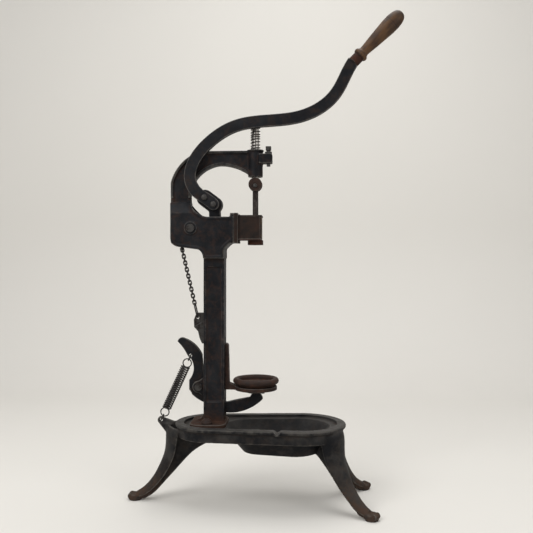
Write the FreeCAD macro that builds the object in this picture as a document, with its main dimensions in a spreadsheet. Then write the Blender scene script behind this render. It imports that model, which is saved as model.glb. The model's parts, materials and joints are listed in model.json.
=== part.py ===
# Double lever wine corker on a three-legged cast stand.
# Millimetres, +Z up, +X towards the bottle platform, +Y away from the lever.
# Each piece is drawn about the column's axis and then moved by column_x,
# so that the origin lies on the floor under the middle of the whole corker.
import FreeCAD, Part
import Sketcher
import math
import os

Vector = FreeCAD.Vector

# Driving dimensions: name, value, meaning
DIMENSIONS = [
    ("column_x", -105.0, "place of the column's axis in the part's frame"),
    ("rim_top", 171.0, "height of the stand's rim above the floor"),
    ("rim_thick", 8.0, "depth of the rolled rim"),
    ("rim_width", 19.0, "width of the rim on top"),
    ("tip_x", -5.0, "centre of the rim's left round"),
    ("tip_radius", 80.0, "outer radius of the rim's left round"),
    ("bowl_x", 186.0, "centre of the rim's right round"),
    ("bowl_radius", 94.0, "outer radius of the rim's right round"),
    ("cast_wall", 6.0, "wall of the stand's casting"),
    ("deck_drop", 7.0, "deck below the rim"),
    ("deck_thick", 8.0, "thickness of the deck under the column"),
    ("skirt_drop", 29.0, "skirt's lower edge below the rim"),
    ("bowl_depth", 61.0, "underside of the drip bowl below the rim"),
    ("ear_x", -116.5, "centre of the spring ear"),
    ("ear_z", 172.5, "height of the spring ear's hole"),
    ("ear_radius", 8.0, "rounded end of the spring ear"),
    ("ear_bore", 6.6, "hole in the spring ear"),
    ("ear_thick", 8.0, "thickness of the spring ear, front to back"),
    ("leg_reach", 168.0, "foot's distance from the round it stands out from"),
    ("leg_start", 96.0, "top of a leg's crown from the round it stands out from"),
    ("leg_spread", 34.4, "heading of the two bowl legs, degrees"),
    ("leg_half_width", 36.0, "half width of a leg's flange at the top"),
    ("leg_wall", 6.0, "thickness of a leg's flange"),
    ("foot_radius", 14.0, "radius of a foot pad"),
    ("foot_thick", 14.0, "height of a foot pad"),
    ("spout_x", 137.0, "place of the pouring notch"),
    ("column_wide", 45.0, "column, left to right"),
    ("column_deep", 40.0, "column, front to back"),
    ("column_wall", 7.0, "column's wall"),
    ("panel_depth", 3.0, "recess of the column's front panel"),
    ("flange_thick", 9.0, "column's foot flange"),
    ("flange_left", -50.0, "left end of the foot flange"),
    ("flange_half", 48.0, "half depth of the foot flange"),
    ("head_bottom", 544.0, "lower edge of the head"),
    ("head_left", -94.6, "back of the head's spine"),
    ("head_right", 43.0, "jaw end of the head"),
    ("head_half", 30.0, "half thickness of the head's body"),
    ("head_wall", 5.0, "wall of the head's body"),
    ("tray_top", 608.0, "throat's floor"),
    ("arm_top", 750.0, "top of the upper arm"),
    ("web_half", 6.0, "half thickness of the head's web"),
    ("bead_half", 10.0, "half thickness of the bead round the web"),
    ("bead_width", 6.0, "width of the bead round the web"),
    ("axle_x", -48.0, "lever axle from the column's axis"),
    ("axle_z", 584.0, "height of the lever axle"),
    ("axle_bore", 14.0, "diameter of the lever axle"),
    ("plunger_x", 87.2, "plunger's axis from the column's axis"),
    ("guide_radius", 15.8, "outer radius of the guide boss"),
    ("guide_bottom", 694.0, "lower end of the guide boss"),
    ("rod_radius", 7.5, "radius of the upper plunger rod"),
    ("running", 0.15, "radial running clearance"),
    ("bush_wall", 2.0, "wall of the guide bush"),
    ("cap_top", 814.5, "top of the plunger's cap at rest"),
    ("cap_thick", 6.0, "thickness of the plunger's cap"),
    ("spring_radius", 9.7, "mean radius of the return spring"),
    ("spring_wire", 2.0, "wire of the return spring"),
    ("knuckle_z", 678.0, "height of the clamping knuckle at rest"),
    ("knuckle_radius", 14.5, "radius of the clamping knuckle"),
    ("ram_radius", 6.1, "radius of the lower plunger"),
    ("ram_bottom", 608.0, "lower end of the lower plunger at rest"),
    ("stop_x", 115.7, "axis of the stop screw"),
    ("stop_y", -12.0, "stop screw's place towards the lever"),
    ("stop_top", 757.4, "top of the stop screw's head"),
    ("stop_head", 11.4, "square head across flats"),
    ("bar_width", 25.0, "lever bar in its own plane"),
    ("bar_thick", 12.0, "lever bar, front to back"),
    ("bar_back", -12.0, "back face of the lever bar"),
    ("rib_thick", 5.0, "depth of the pushing rib behind the lever"),
    ("rib_drop", 0.5, "step from the bar's upper edge down to the rib"),
    ("rib_back", 9.0, "back end of the pushing rib"),
    ("rocker_half", 8.0, "half thickness of the rocker"),
    ("ferrule_radius", 12.0, "radius of the handle's ferrule"),
    ("ferrule_long", 18.0, "length of the ferrule"),
    ("grip_long", 126.0, "length of the wooden grip"),
    ("grip_radius", 17.2, "thickest radius of the grip"),
    ("box_right", 99.0, "right end of the jaw housing"),
    ("box_half", 25.0, "half depth of the jaw housing"),
    ("box_bottom", 562.0, "underside of the jaw housing"),
    ("box_wall", 5.0, "wall of the jaw housing"),
    ("cork_radius", 7.9, "radius of the closed jaws' bore"),
    ("jaw_stroke", 8.0, "travel of the moving jaw"),
    ("mouth_bottom", 549.0, "lower end of the mouth collar"),
    ("mouth_radius", 16.6, "outer radius of the mouth collar"),
    ("mouth_bore", 13.0, "radius of the mouth collar's bore"),
    ("platform_radius", 49.0, "outer radius of the platform"),
    ("screw_circle", 31.0, "platform screws from the platform's axis"),
    ("platform_bead", 6.5, "radius of the platform's rim"),
    ("bracket_bottom", 234.0, "underside of the platform's bracket"),
    ("bracket_top", 339.0, "top of the platform's guide leg"),
    ("pivot_x", -34.4, "platform lever's pivot"),
    ("pivot_z", 245.8, "height of the platform lever's pivot"),
    ("pin_radius", 5.0, "radius of the platform lever's pin"),
    ("rocker_thick", 10.0, "thickness of the platform lever"),
    ("coil_radius", 9.0, "mean radius of the tension spring"),
    ("coil_wire", 2.5, "wire of the tension spring"),
    ("chain_wire", 2.8, "wire of the chain"),
    ("chain_link", 13.0, "outer length of a chain link"),
    ("shoe_top", 404.0, "top of the lock shoe"),
    ("shoe_bottom", 338.0, "lower end of the lock shoe"),
    ("shoe_thick", 14.0, "thickness of the lock shoe"),
    ("shoe_lug", 8.0, "thickness of the lock shoe at the chain's eye"),
    ("shackle_long", 17.0, "length of the chain's first link"),
    ("shackle_wide", 13.6, "width of the chain's first link"),
    ("rib_start", 0.37, "where the pushing rib begins, share of the bar"),
    ("rib_end", 0.56, "where the pushing rib ends, share of the bar"),
    ("handle_x", 293.8, "where the handle begins, from the column's axis"),
    ("handle_z", 931.0, "height at which the handle begins"),
    ("handle_lean", 44.7, "lean of the handle from the upright, degrees"),
    ("tang_side", 9.0, "side of the square tang in the grip"),
    ("eye_radius", 9.0, "mean radius of the tension spring's eyes"),
    ("seat_gap", 0.3, "gap between curved faces of pieces that move apart"),
]
VALUES = {name: value for name, value, meaning in DIMENSIONS}

document = FreeCAD.newDocument("Corker")
sheet = document.addObject("Spreadsheet::Sheet", "Sizes")
for row, (name, value, meaning) in enumerate(DIMENSIONS, start=1):
    sheet.set("A%d" % row, meaning)
    sheet.set("B%d" % row, str(value))
    sheet.setAlias("B%d" % row, name)
document.recompute()


class Size:
    """A length with its value and the sheet expression that gives it."""

    def __init__(self, value, text):
        self.value = float(value)
        self.text = text

    def __add__(self, other):
        other = as_size(other)
        return Size(self.value + other.value, "(%s + %s)" % (self.text, other.text))

    def __sub__(self, other):
        other = as_size(other)
        return Size(self.value - other.value, "(%s - %s)" % (self.text, other.text))

    def __mul__(self, factor):
        return Size(self.value * factor, "(%s * %.6g)" % (self.text, factor))

    def __neg__(self):
        return Size(-self.value, "(0 - %s)" % self.text)

    __radd__ = __add__

    def __rsub__(self, other):
        return as_size(other) - self

    __rmul__ = __mul__


def as_size(number):
    """Give a plain number the same form as a named size."""
    if isinstance(number, Size):
        return number
    return Size(number, "%.6g" % number)


def named(name):
    """The sheet's value under this name."""
    return Size(VALUES[name], "Sizes." + name)


def bind(item, prop, size):
    """Tie a property of a document object to the sheet."""
    item.setExpression(prop, as_size(size).text)


def place(item, x, y, z, rotation=None):
    """Put a piece where the sheet says, moved with the column."""
    x = as_size(x) + named("column_x")
    y = as_size(y)
    z = as_size(z)
    turn = rotation or FreeCAD.Rotation()
    item.Placement = FreeCAD.Placement(Vector(x.value, y.value, z.value), turn)
    bind(item, "Placement.Base.x", x)
    bind(item, "Placement.Base.y", y)
    bind(item, "Placement.Base.z", z)
    return item


ALONG_X = FreeCAD.Rotation(Vector(0, 1, 0), 90)
ALONG_Y = FreeCAD.Rotation(Vector(1, 0, 0), -90)


# Sketches and features

def new_body(label):
    body = document.addObject("PartDesign::Body", label)
    body.Label = label
    return body


def new_sketch(body, role, name):
    """A sketch on one of the body's own origin planes."""
    sketch = body.newObject("Sketcher::SketchObject", name)
    planes = [item for item in body.Origin.OriginFeatures if item.Role == role]
    sketch.AttachmentSupport = [(planes[0], "")]
    sketch.MapMode = "FlatFace"
    return sketch


def pin_point(sketch, edge, end, x, y):
    """Hold the end of an edge at a place given by the sheet."""
    for kind, size in (("DistanceX", x), ("DistanceY", y)):
        number = sketch.addConstraint(Sketcher.Constraint(kind, -1, 1, edge, end, size.value))
        if size.text != "0":
            sketch.setExpression("Constraints[%d]" % number, size.text)


def draw_outline(sketch, corners):
    """A closed outline. A corner is x, y or x, y, radius: an arc of that
    radius leads to it, anticlockwise where the radius is positive."""
    count = len(corners)
    ends = []
    for index in range(count):
        corner = [as_size(item) for item in corners[index]]
        before = [as_size(item) for item in corners[index - 1]]
        start = Vector(before[0].value, before[1].value, 0)
        finish = Vector(corner[0].value, corner[1].value, 0)
        if len(corner) == 2:
            edge = sketch.addGeometry(Part.LineSegment(start, finish), False)
            ends.append((edge, 1, 2, before))
            continue
        radius = abs(corner[2].value)
        left = corner[2].value > 0
        chord = finish - start
        rise = math.sqrt(max(radius ** 2 - (chord.Length / 2) ** 2, 0.0))
        normal = Vector(-chord.y, chord.x, 0).normalize()
        centre = (start + finish) * 0.5 + normal * (rise if left else -rise)
        first, last = (start, finish) if left else (finish, start)
        circle = Part.Circle(centre, Vector(0, 0, 1), radius)
        arc = Part.ArcOfCircle(circle, circle.parameter(first), circle.parameter(last))
        edge = sketch.addGeometry(arc, False)
        ends.append((edge, 1, 2, before) if left else (edge, 2, 1, before))
        number = sketch.addConstraint(Sketcher.Constraint("Radius", edge, radius))
        text = corner[2].text if left else "(0 - %s)" % corner[2].text
        sketch.setExpression("Constraints[%d]" % number, text)
    for index in range(count):
        edge, head, tail, before = ends[index]
        following = ends[(index + 1) % count]
        sketch.addConstraint(Sketcher.Constraint("Coincident", edge, tail, following[0], following[1]))
        pin_point(sketch, edge, head, before[0], before[1])


def draw_circle(sketch, x, y, radius):
    x, y, radius = as_size(x), as_size(y), as_size(radius)
    centre = Vector(x.value, y.value, 0)
    edge = sketch.addGeometry(Part.Circle(centre, Vector(0, 0, 1), radius.value), False)
    number = sketch.addConstraint(Sketcher.Constraint("Radius", edge, radius.value))
    sketch.setExpression("Constraints[%d]" % number, radius.text)
    pin_point(sketch, edge, 3, x, y)


def pad(body, sketch, length, both=False, name="Pad"):
    feature = body.newObject("PartDesign::Pad", name)
    feature.Profile = sketch
    feature.SideType = "Symmetric" if both else "One side"
    bind(feature, "Length", length)
    document.recompute()
    return feature


def pocket(body, sketch, length, both=False, reverse=False, name="Pocket"):
    """Cut a sketch out, and make sure that something was cut."""
    before = body.Shape.Volume
    feature = body.newObject("PartDesign::Pocket", name)
    feature.Profile = sketch
    feature.SideType = "Symmetric" if both else "One side"
    feature.Reversed = reverse
    bind(feature, "Length", length)
    document.recompute()
    if not body.Shape.Volume < before:
        raise ValueError("the pocket %s of %s cuts nothing" % (name, body.Label))
    return feature


def turned(label, profile):
    """A body of revolution about Z from radius, height corners."""
    body = new_body(label)
    sketch = new_sketch(body, "XZ_Plane", label + "_profile")
    draw_outline(sketch, profile)
    feature = body.newObject("PartDesign::Revolution", "Turn")
    feature.Profile = sketch
    feature.ReferenceAxis = (sketch, ["V_Axis"])
    document.recompute()
    return body


def ring_profile(inner, outer, low, high):
    return [(inner, low), (outer, low), (outer, high), (inner, high)]


def cast(label, shape):
    """A casting or forging whose form no single sketch gives."""
    piece = document.addObject("Part::Feature", label)
    piece.Label = label
    piece.Shape = shape if shape.Placement.isIdentity() else Part.makeCompound([shape])
    return piece


# Plain solids and wires for the castings

def size_value(name):
    return float(sheet.get(name))


def block(x0, x1, y0, y1, z0, z1):
    return Part.makeBox(x1 - x0, y1 - y0, z1 - z0, Vector(x0, y0, z0))


def upright(x, z, y=0.0):
    return Vector(x, y, z)


def side_outline(points):
    """A closed wire in the XZ plane. A three-number tuple's last pair is
    the point that an arc passes on its way: (x, z, via_x, via_z)."""
    edges = []
    for index in range(len(points)):
        start = upright(*points[index - 1][:2])
        finish = upright(*points[index][:2])
        if len(points[index]) == 4:
            via = upright(*points[index][2:])
            edges.append(Part.Arc(start, via, finish).toShape())
        else:
            edges.append(Part.makeLine(start, finish))
    return Part.Wire(edges)


def side_plate(wire, front, back):
    """Extrude an XZ wire from the front Y to the back Y."""
    face = Part.Face(wire)
    face.translate(Vector(0, front, 0))
    return face.extrude(Vector(0, back - front, 0))


def two_rounds(left_x, left_radius, right_x, right_radius, z):
    """A level outline of two rounds joined by their tangents."""
    lean = (left_radius - right_radius) / (right_x - left_x)
    rise = math.sqrt(1.0 - lean * lean)
    left_up = Vector(left_x + left_radius * lean, left_radius * rise, z)
    left_down = Vector(left_up.x, -left_up.y, z)
    right_up = Vector(right_x + right_radius * lean, right_radius * rise, z)
    right_down = Vector(right_up.x, -right_up.y, z)
    left_tip = Vector(left_x - left_radius, 0, z)
    right_tip = Vector(right_x + right_radius, 0, z)
    return Part.Wire([
        Part.makeLine(left_down, right_down),
        Part.Arc(right_down, right_tip, right_up).toShape(),
        Part.makeLine(right_up, left_up),
        Part.Arc(left_up, left_tip, left_down).toShape(),
    ])


def level_slab(wire, height):
    return Part.Face(wire).extrude(Vector(0, 0, height))


def rounded_box(x0, x1, y0, y1, z0, z1, radius):
    solid = block(x0, x1, y0, y1, z0, z1)
    standing = [edge for edge in solid.Edges if abs(edge.tangentAt(edge.FirstParameter).z) > 0.9]
    return solid.makeFillet(radius, standing)


# The stand

def leg_path():
    """Stations down a leg: distance out, height, half width, depth."""
    start = size_value("leg_start")
    run = leg_run()
    top = size_value("rim_top")
    half = size_value("leg_half_width")
    return [
        (start, top - 6.0, half, 32.0),
        (start + 5.0 * run, top * 0.82, half * 0.95, 30.0),
        (start + 6.0 * run, top * 0.69, half * 0.85, 27.0),
        (start + 12.0 * run, top * 0.55, half * 0.72, 24.0),
        (start + 27.0 * run, top * 0.36, half * 0.54, 20.0),
        (start + 47.0 * run, top * 0.20, half * 0.42, 16.0),
        (start + 69.0 * run, top * 0.105, half * 0.36, 12.0),
    ]


def leg_run():
    """How far the leg runs out from its crown, in 72nds."""
    return (size_value("leg_reach") - size_value("leg_start")) / 72.0


def leg_section(station, tangent, inset):
    """A half-round section square to the leg's path."""
    out, height, half, depth = station
    inward = Vector(tangent.z, 0, -tangent.x)
    point = upright(out, height)
    crown = point + inward * inset
    foot = point + inward * (depth + (2.0 if inset else 0.0))
    side = Vector(0, half - inset, 0)
    arc = Part.Arc(foot - side, crown, foot + side).toShape()
    return Part.Wire([arc, Part.makeLine(foot + side, foot - side)])


def leg_solid():
    """One leg that stands out along +X, with its hollow back and web."""
    stations = leg_path()
    wall = size_value("leg_wall")
    reach = size_value("leg_reach")
    top = size_value("rim_top")
    tangents = []
    for index in range(len(stations)):
        ahead = stations[min(index + 1, len(stations) - 1)]
        behind = stations[max(index - 1, 0)]
        step = upright(ahead[0] - behind[0], ahead[1] - behind[1])
        tangents.append(step.normalize())
    outer = Part.makeLoft([leg_section(s, t, 0.0) for s, t in zip(stations, tangents)], True, False)
    inner = Part.makeLoft([leg_section(s, t, wall) for s, t in zip(stations[:-1], tangents)], True, False)
    crest = [upright(s[0] - wall * 0.5, s[1] - wall * 0.3) for s in stations]
    start = size_value("leg_start")
    run = leg_run()
    under = [upright(start + past * run, top * rise) for past, rise in [
        (50.0, 0.023), (30.0, 0.094), (12.0, 0.205)]]
    under += [upright(start - back, top * rise) for back, rise in [
        (9.0, 0.34), (31.0, 0.485), (54.0, 0.62), (78.0, 0.71), (100.0, 0.76)]]
    root = upright(under[-1].x, top - 12.0)
    web = side_plate(Part.Wire([
        spline_edge(crest), Part.makeLine(crest[-1], under[0]), spline_edge(under),
        Part.makeLine(under[-1], root), Part.makeLine(root, crest[0]),
    ]), -4.0, 4.0)
    pad_solid = Part.makeCylinder(size_value("foot_radius"), size_value("foot_thick"), upright(reach, 0.0))
    pad_solid = pad_solid.makeFillet(3.5, [edge for edge in pad_solid.Edges if edge.BoundBox.ZMin > 1.0])
    toe = Part.makeCylinder(6.5, 20.0, Vector(reach + 9.0, -10.0, 9.0), Vector(0, 1, 0))
    return outer.cut(inner).fuse([web, pad_solid, toe])


def base_casting():
    """Rim, deck, drip bowl, skirt, spring ear and three legs in one casting."""
    top = size_value("rim_top")
    rim = size_value("rim_width")
    wall = size_value("cast_wall")
    thick = size_value("rim_thick")
    deck_top = top - size_value("deck_drop")
    bowl_bottom = top - size_value("bowl_depth")
    tip = (size_value("tip_x"), size_value("tip_radius"))
    bowl = (size_value("bowl_x"), size_value("bowl_radius"))

    def rim_outline(inset, z, shift=0.0):
        return two_rounds(tip[0], tip[1] - inset, bowl[0] - shift, bowl[1] - inset, z)

    rim_plate = level_slab(rim_outline(0.0, top - thick), thick)
    outer_edges = [edge for edge in rim_plate.Edges if abs(edge.tangentAt(edge.FirstParameter).z) < 0.1]
    rim_plate = rim_plate.makeFillet(thick * 0.38, outer_edges)
    skirt = level_slab(rim_outline(wall, top - size_value("skirt_drop")), size_value("skirt_drop") - 1.0)
    under_deck = deck_top - size_value("deck_thick")
    skirt = skirt.cut(level_slab(rim_outline(2.0 * wall, 0.0), under_deck))
    deck = level_slab(rim_outline(1.5 * wall, under_deck), size_value("deck_thick"))
    inner_left = tip[0] + 84.0
    lower_left = inner_left + 22.0

    def bowl_solid(inset, low):
        upper = two_rounds(inner_left, tip[1] - rim - inset + 4.0,
                           bowl[0] - 9.0, bowl[1] - rim - inset, deck_top)
        lower = two_rounds(lower_left, 40.0 - inset, bowl[0] - 16.0, 52.0 - inset, low)
        return Part.makeLoft([upper, lower], True, True)

    ear_half = size_value("ear_thick") / 2.0
    ear_x = size_value("ear_x")
    ear_z = size_value("ear_z")
    ear_round = size_value("ear_radius")
    rim_edge = tip[0] - tip[1]
    ear = Part.makeCylinder(ear_round, 2.0 * ear_half, Vector(ear_x, -ear_half, ear_z), Vector(0, 1, 0))
    neck = side_plate(side_outline([
        (ear_x + 2.0, ear_z + ear_round - 1.0), (ear_x - 4.0, ear_z - ear_round + 1.5),
        (rim_edge - 7.0, ear_z - 21.0), (rim_edge + 2.0, ear_z - 43.0), (rim_edge + 10.0, ear_z - 43.0),
        (rim_edge + 8.0, top - 1.0), (rim_edge - 4.0, top - 0.5),
    ]), -ear_half + 0.6, ear_half - 0.6)
    left_leg = leg_solid()
    left_leg.rotate(Vector(0, 0, 0), Vector(0, 0, 1), 180.0)
    left_leg.translate(Vector(tip[0], 0, 0))
    legs = [left_leg]
    for side in (-1.0, 1.0):
        leg = leg_solid()
        leg.rotate(Vector(0, 0, 0), Vector(0, 0, 1), side * size_value("leg_spread"))
        leg.translate(Vector(bowl[0], 0, 0))
        legs.append(leg)
    spout_x = size_value("spout_x")
    lip = Part.Face(Part.makePolygon([
        Vector(spout_x - 16.0, -80.0, top - thick), Vector(spout_x, -101.0, top - thick),
        Vector(spout_x + 16.0, -80.0, top - thick), Vector(spout_x - 16.0, -80.0, top - thick),
    ])).extrude(Vector(0, 0, thick))
    solid = rim_plate.fuse([skirt, deck, bowl_solid(0.0, bowl_bottom), ear, neck, lip] + legs)
    inner = level_slab(rim_outline(rim, deck_top), thick + 5.0)
    cavity = bowl_solid(wall, bowl_bottom + wall)
    notch = Part.Face(Part.makePolygon([
        Vector(spout_x - 7.0, -110.0, top + 0.01), Vector(spout_x, -110.0, top - 5.0),
        Vector(spout_x + 7.0, -110.0, top + 0.01), Vector(spout_x - 7.0, -110.0, top + 0.01),
    ])).extrude(Vector(0, 60.0, 0))
    ear_hole = Part.makeCylinder(size_value("ear_bore") / 2.0, 40.0,
                                 Vector(ear_x, -20.0, ear_z), Vector(0, 1, 0))
    cuts = [inner, cavity, notch, ear_hole]
    for x, y in foot_bolt_places():
        cuts.append(Part.makeCylinder(5.4, 60.0, Vector(x, y, top - 50.0)))
    return solid.cut(cuts).removeSplitter()


def foot_bolt_places():
    """Where the column is bolted down, in front and behind."""
    half = size_value("flange_half")
    return [(-13.0, 13.0 - half), (-13.0, half - 13.0)]


def deck_height():
    return size_value("rim_top") - size_value("deck_drop")


# The column and its C-shaped head

def head_web():
    """Outline of the web: spine, upper arm and throat."""
    left = size_value("head_left")
    arm = size_value("arm_top")
    tray = size_value("tray_top")
    guide = size_value("plunger_x")
    return side_outline([
        (left, 600.0),
        (left, arm - 67.0),
        (-65.0, arm - 19.0, -84.0, arm - 42.0),
        (-20.0, arm, -44.0, arm - 6.0),
        (guide, arm),
        (guide, arm - 52.0),
        (guide - 13.0, arm - 52.0),
        (11.7, arm - 31.0, 43.0, arm - 36.0),
        (-50.7, arm - 84.0, -26.0, arm - 46.5),
        (-50.7, tray - 4.0),
    ])


def head_body():
    """Outline of the thick lower body with its rounded throat corner."""
    left = size_value("head_left")
    right = size_value("head_right")
    tray = size_value("tray_top")
    low = size_value("head_bottom")
    return side_outline([
        (left, low + 26.0, left + 6.5, low + 7.5),
        (left, tray + 32.0),
        (-50.0, tray + 34.0),
        (-14.0, tray, -40.5, tray + 14.5),
        (right, tray),
        (right, low + 15.0),
        (30.0, low + 4.0),
        (22.5, low - 4.0),
        (22.5, low - 24.0),
        (-22.5, low - 24.0),
        (-40.0, low - 4.0, -27.0, low - 9.0),
        (-70.0, low),
    ])


def column_casting():
    """Column, foot flange, head, guide boss and lugs in one casting."""
    deck = deck_height()
    wide = size_value("column_wide") / 2.0
    deep = size_value("column_deep") / 2.0
    wall = size_value("column_wall")
    low = size_value("head_bottom")
    tray = size_value("tray_top")
    left = size_value("head_left")
    right = size_value("head_right")
    half = size_value("head_half")
    skin = size_value("head_wall")
    guide = size_value("plunger_x")
    arm = size_value("arm_top")
    web_half = size_value("web_half")
    bead_half = size_value("bead_half")
    flange = size_value("flange_thick")

    shaft = rounded_box(-wide, wide, -deep, deep, deck, low + 10.0, 3.0)
    foot = rounded_box(size_value("flange_left"), wide + 4.0, -size_value("flange_half"),
                       size_value("flange_half"), deck, deck + flange, 20.0)
    gusset = side_plate(side_outline([
        (-wide + 1.0, deck + 42.0), (-wide + 1.0, deck + flange), (-wide - 20.0, deck + flange),
        (-wide, deck + 40.0, -wide - 5.0, deck + 18.0),
    ]), -5.0, 5.0)
    web = side_plate(head_web(), -bead_half, bead_half)
    inside = head_web().makeOffset2D(-size_value("bead_width"))
    trough = side_plate(inside, -40.0, -web_half)
    other_trough = side_plate(inside, web_half, 40.0)
    web = web.cut([trough, other_trough])
    rim_proud = 1.6
    body = side_plate(head_body(), -half - rim_proud, half + rim_proud)
    panel = head_body().makeOffset2D(-5.5)
    body = body.cut([side_plate(panel, -half - 9.0, -half), side_plate(panel, half, half + 9.0)])
    mating = block(right - 8.0, right, -half, half, size_value("box_bottom") - 9.0, tray + 8.0)
    cavity = side_plate(side_outline([
        (left + skin, low - 10.0), (left + skin, tray - 8.0), (-60.0, tray - 6.0),
        (-51.0, tray + 8.0), (-51.0, arm - 90.0),
        (right - 6.0, arm - 90.0), (right - 6.0, low + 20.0), (-53.0, low + 20.0), (-59.0, low - 10.0),
    ]), -half + skin, half - skin)
    boss = Part.makeCylinder(size_value("guide_radius"), arm + 2.0 - size_value("guide_bottom"),
                             upright(guide, size_value("guide_bottom")))
    collar = Part.makeCylinder(size_value("guide_radius") + 2.0, 4.0, upright(guide, arm - 2.0))
    lug = rounded_box(guide + 8.0, size_value("stop_x") + 8.0, size_value("stop_y") - 8.0, 8.0,
                      arm - 28.0, arm - 8.0, 3.0)
    boss_high = 3.0
    axle_bosses = [
        Part.makeCylinder(14.0, boss_high, Vector(size_value("axle_x"), face, size_value("axle_z")),
                          Vector(0, 1, 0))
        for face in (-half - boss_high, half)
    ]
    ears = []
    ear_in = size_value("rocker_thick") / 2.0 + size_value("seat_gap")
    for side in (-1.0, 1.0):
        near, far = sorted((side * ear_in, side * (ear_in + 6.0)))
        ears.append(side_plate(side_outline([
            (-wide + 1.0, size_value("pivot_z") + 22.0), (-wide + 1.0, size_value("pivot_z") - 22.0),
            (size_value("pivot_x"), size_value("pivot_z") - 13.0),
            (size_value("pivot_x"), size_value("pivot_z") + 13.0,
             size_value("pivot_x") - 13.0, size_value("pivot_z")),
        ]), near, far))
    solid = shaft.fuse([foot, gusset, web, body, mating, boss, collar, lug] + axle_bosses + ears)

    bore = size_value("rod_radius") + size_value("running") + size_value("bush_wall")
    slot = size_value("rocker_thick") / 2.0 + 1.0
    cuts = [
        cavity,
        block(-wide + wall, wide - wall, -deep + wall, deep + 1.0, deck + 12.0, low - 20.0),
        block(-wide + 6.5, wide - 6.5, -deep - 1.0, -deep + size_value("panel_depth"),
              deck + 52.0, low - 42.0),
        block(-wide - 1.0, 0.0, -slot, slot, size_value("pivot_z") - 60.0, size_value("pivot_z") + 86.0),
        block(0.0, wide + 1.0, -slot, slot, deck + 12.0, size_value("pivot_z") - 22.0),
        block(0.0, wide + 1.0, -4.0, 4.0, size_value("pivot_z") - 24.0, size_value("bracket_top") + 12.0),
        block(-wide - 1.0, 0.0, -4.0, 4.0, size_value("shoe_bottom") - 8.0, size_value("shoe_top") + 22.0),
        block(right - 8.0, right + 1.0, -9.0, 9.0,
              size_value("box_bottom") + 14.0, size_value("box_bottom") + 32.0),
        Part.makeCylinder(bore, 80.0, upright(guide, arm - 70.0)),
        Part.makeCylinder(4.2, 60.0, Vector(size_value("stop_x"), size_value("stop_y"), arm - 50.0)),
        Part.makeCylinder(size_value("axle_bore") / 2.0 + size_value("running"), 90.0,
                          Vector(size_value("axle_x"), -45.0, size_value("axle_z")), Vector(0, 1, 0)),
        Part.makeCylinder(size_value("pin_radius") + size_value("running"), 60.0,
                          Vector(size_value("pivot_x"), -30.0, size_value("pivot_z")), Vector(0, 1, 0)),
    ]
    for x, y in foot_bolt_places():
        cuts.append(Part.makeCylinder(5.4, 40.0, Vector(x, y, deck - 10.0)))
    for y, z in housing_screw_places():
        cuts.append(Part.makeCylinder(3.2, 20.0, Vector(right - 10.0, y, z), Vector(1, 0, 0)))
    return solid.cut(cuts).removeSplitter()


def housing_screw_places():
    low = size_value("box_bottom")
    return [(y, low + rise) for y in (-18.0, 18.0) for rise in (8.0, 38.0)]


# Fasteners and small forgings

def revolved(points, origin, direction):
    """A solid of revolution from radius, height corners, laid on an axis."""
    corners = [Vector(radius, 0, height) for radius, height in points]
    wire = Part.makePolygon(corners + corners[:1])
    solid = Part.Face(wire).revolve(Vector(0, 0, 0), Vector(0, 0, 1), 360)
    solid.Placement = FreeCAD.Placement(origin, FreeCAD.Rotation(Vector(0, 0, 1), direction))
    return solid


def hex_prism(across, height, origin, direction):
    corner = across / math.sqrt(3.0)
    points = [Vector(corner * math.cos(math.radians(60 * k)), corner * math.sin(math.radians(60 * k)), 0)
              for k in range(7)]
    solid = Part.Face(Part.makePolygon(points)).extrude(Vector(0, 0, height))
    solid.Placement = FreeCAD.Placement(origin, FreeCAD.Rotation(Vector(0, 0, 1), direction))
    return solid


def foot_bolts():
    """Dome-headed bolts that hold the column down."""
    top = deck_height() + size_value("flange_thick")
    bolts = []
    for x, y in foot_bolt_places():
        profile = [(0, -26), (5.2, -26), (5.2, 0), (12, 0), (12, 3), (9.5, 8), (5, 11), (0, 12)]
        bolts.append(revolved(profile, Vector(x, y, top), Vector(0, 0, 1)))
    return Part.makeCompound(bolts)


def foot_nuts():
    nuts = []
    for x, y in foot_bolt_places():
        low = Vector(x, y, deck_height() - size_value("deck_thick") - 7.5)
        nut = hex_prism(17.0, 7.5, low, Vector(0, 0, 1))
        nuts.append(nut.cut(Part.makeCylinder(5.3, 20.0, low - Vector(0, 0, 5.0))))
    return Part.makeCompound(nuts)


def housing_screws():
    """Four screws that hold the jaw housing to the head, from inside."""
    face = size_value("head_right")
    screws = []
    for y, z in housing_screw_places():
        profile = [(0, -10), (5.4, -10), (5.4, -6), (3.1, -6), (3.1, 11), (0, 11)]
        screws.append(revolved(profile, Vector(face, y, z), Vector(1, 0, 0)))
    return Part.makeCompound(screws)


# The hand lever

def lever_line():
    """Centre line of the S-shaped bar, from the toe to the handle."""
    points = [(-0.9, 634.7), (-20.0, 649.1), (-41.0, 666.0), (-50.8, 690.0), (-46.5, 717.0),
              (-10.4, 766.0), (48.4, 801.0), (120.0, 811.0), (193.3, 822.0), (257.5, 866.4), (288.5, 924.0),
              (298.0, 938.0)]
    curve = Part.BSplineCurve()
    curve.interpolate([upright(x, z) for x, z in points])
    return curve


def beside(curve, share, distance):
    """A point beside the curve; positive is the upper left side."""
    first, last = curve.FirstParameter, curve.LastParameter
    parameter = first + (last - first) * share
    tangent = curve.tangent(parameter)[0]
    return curve.value(parameter) + Vector(-tangent.z, 0, tangent.x) * distance


def spline_edge(points):
    curve = Part.BSplineCurve()
    curve.interpolate(points)
    return curve.toShape()


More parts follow.
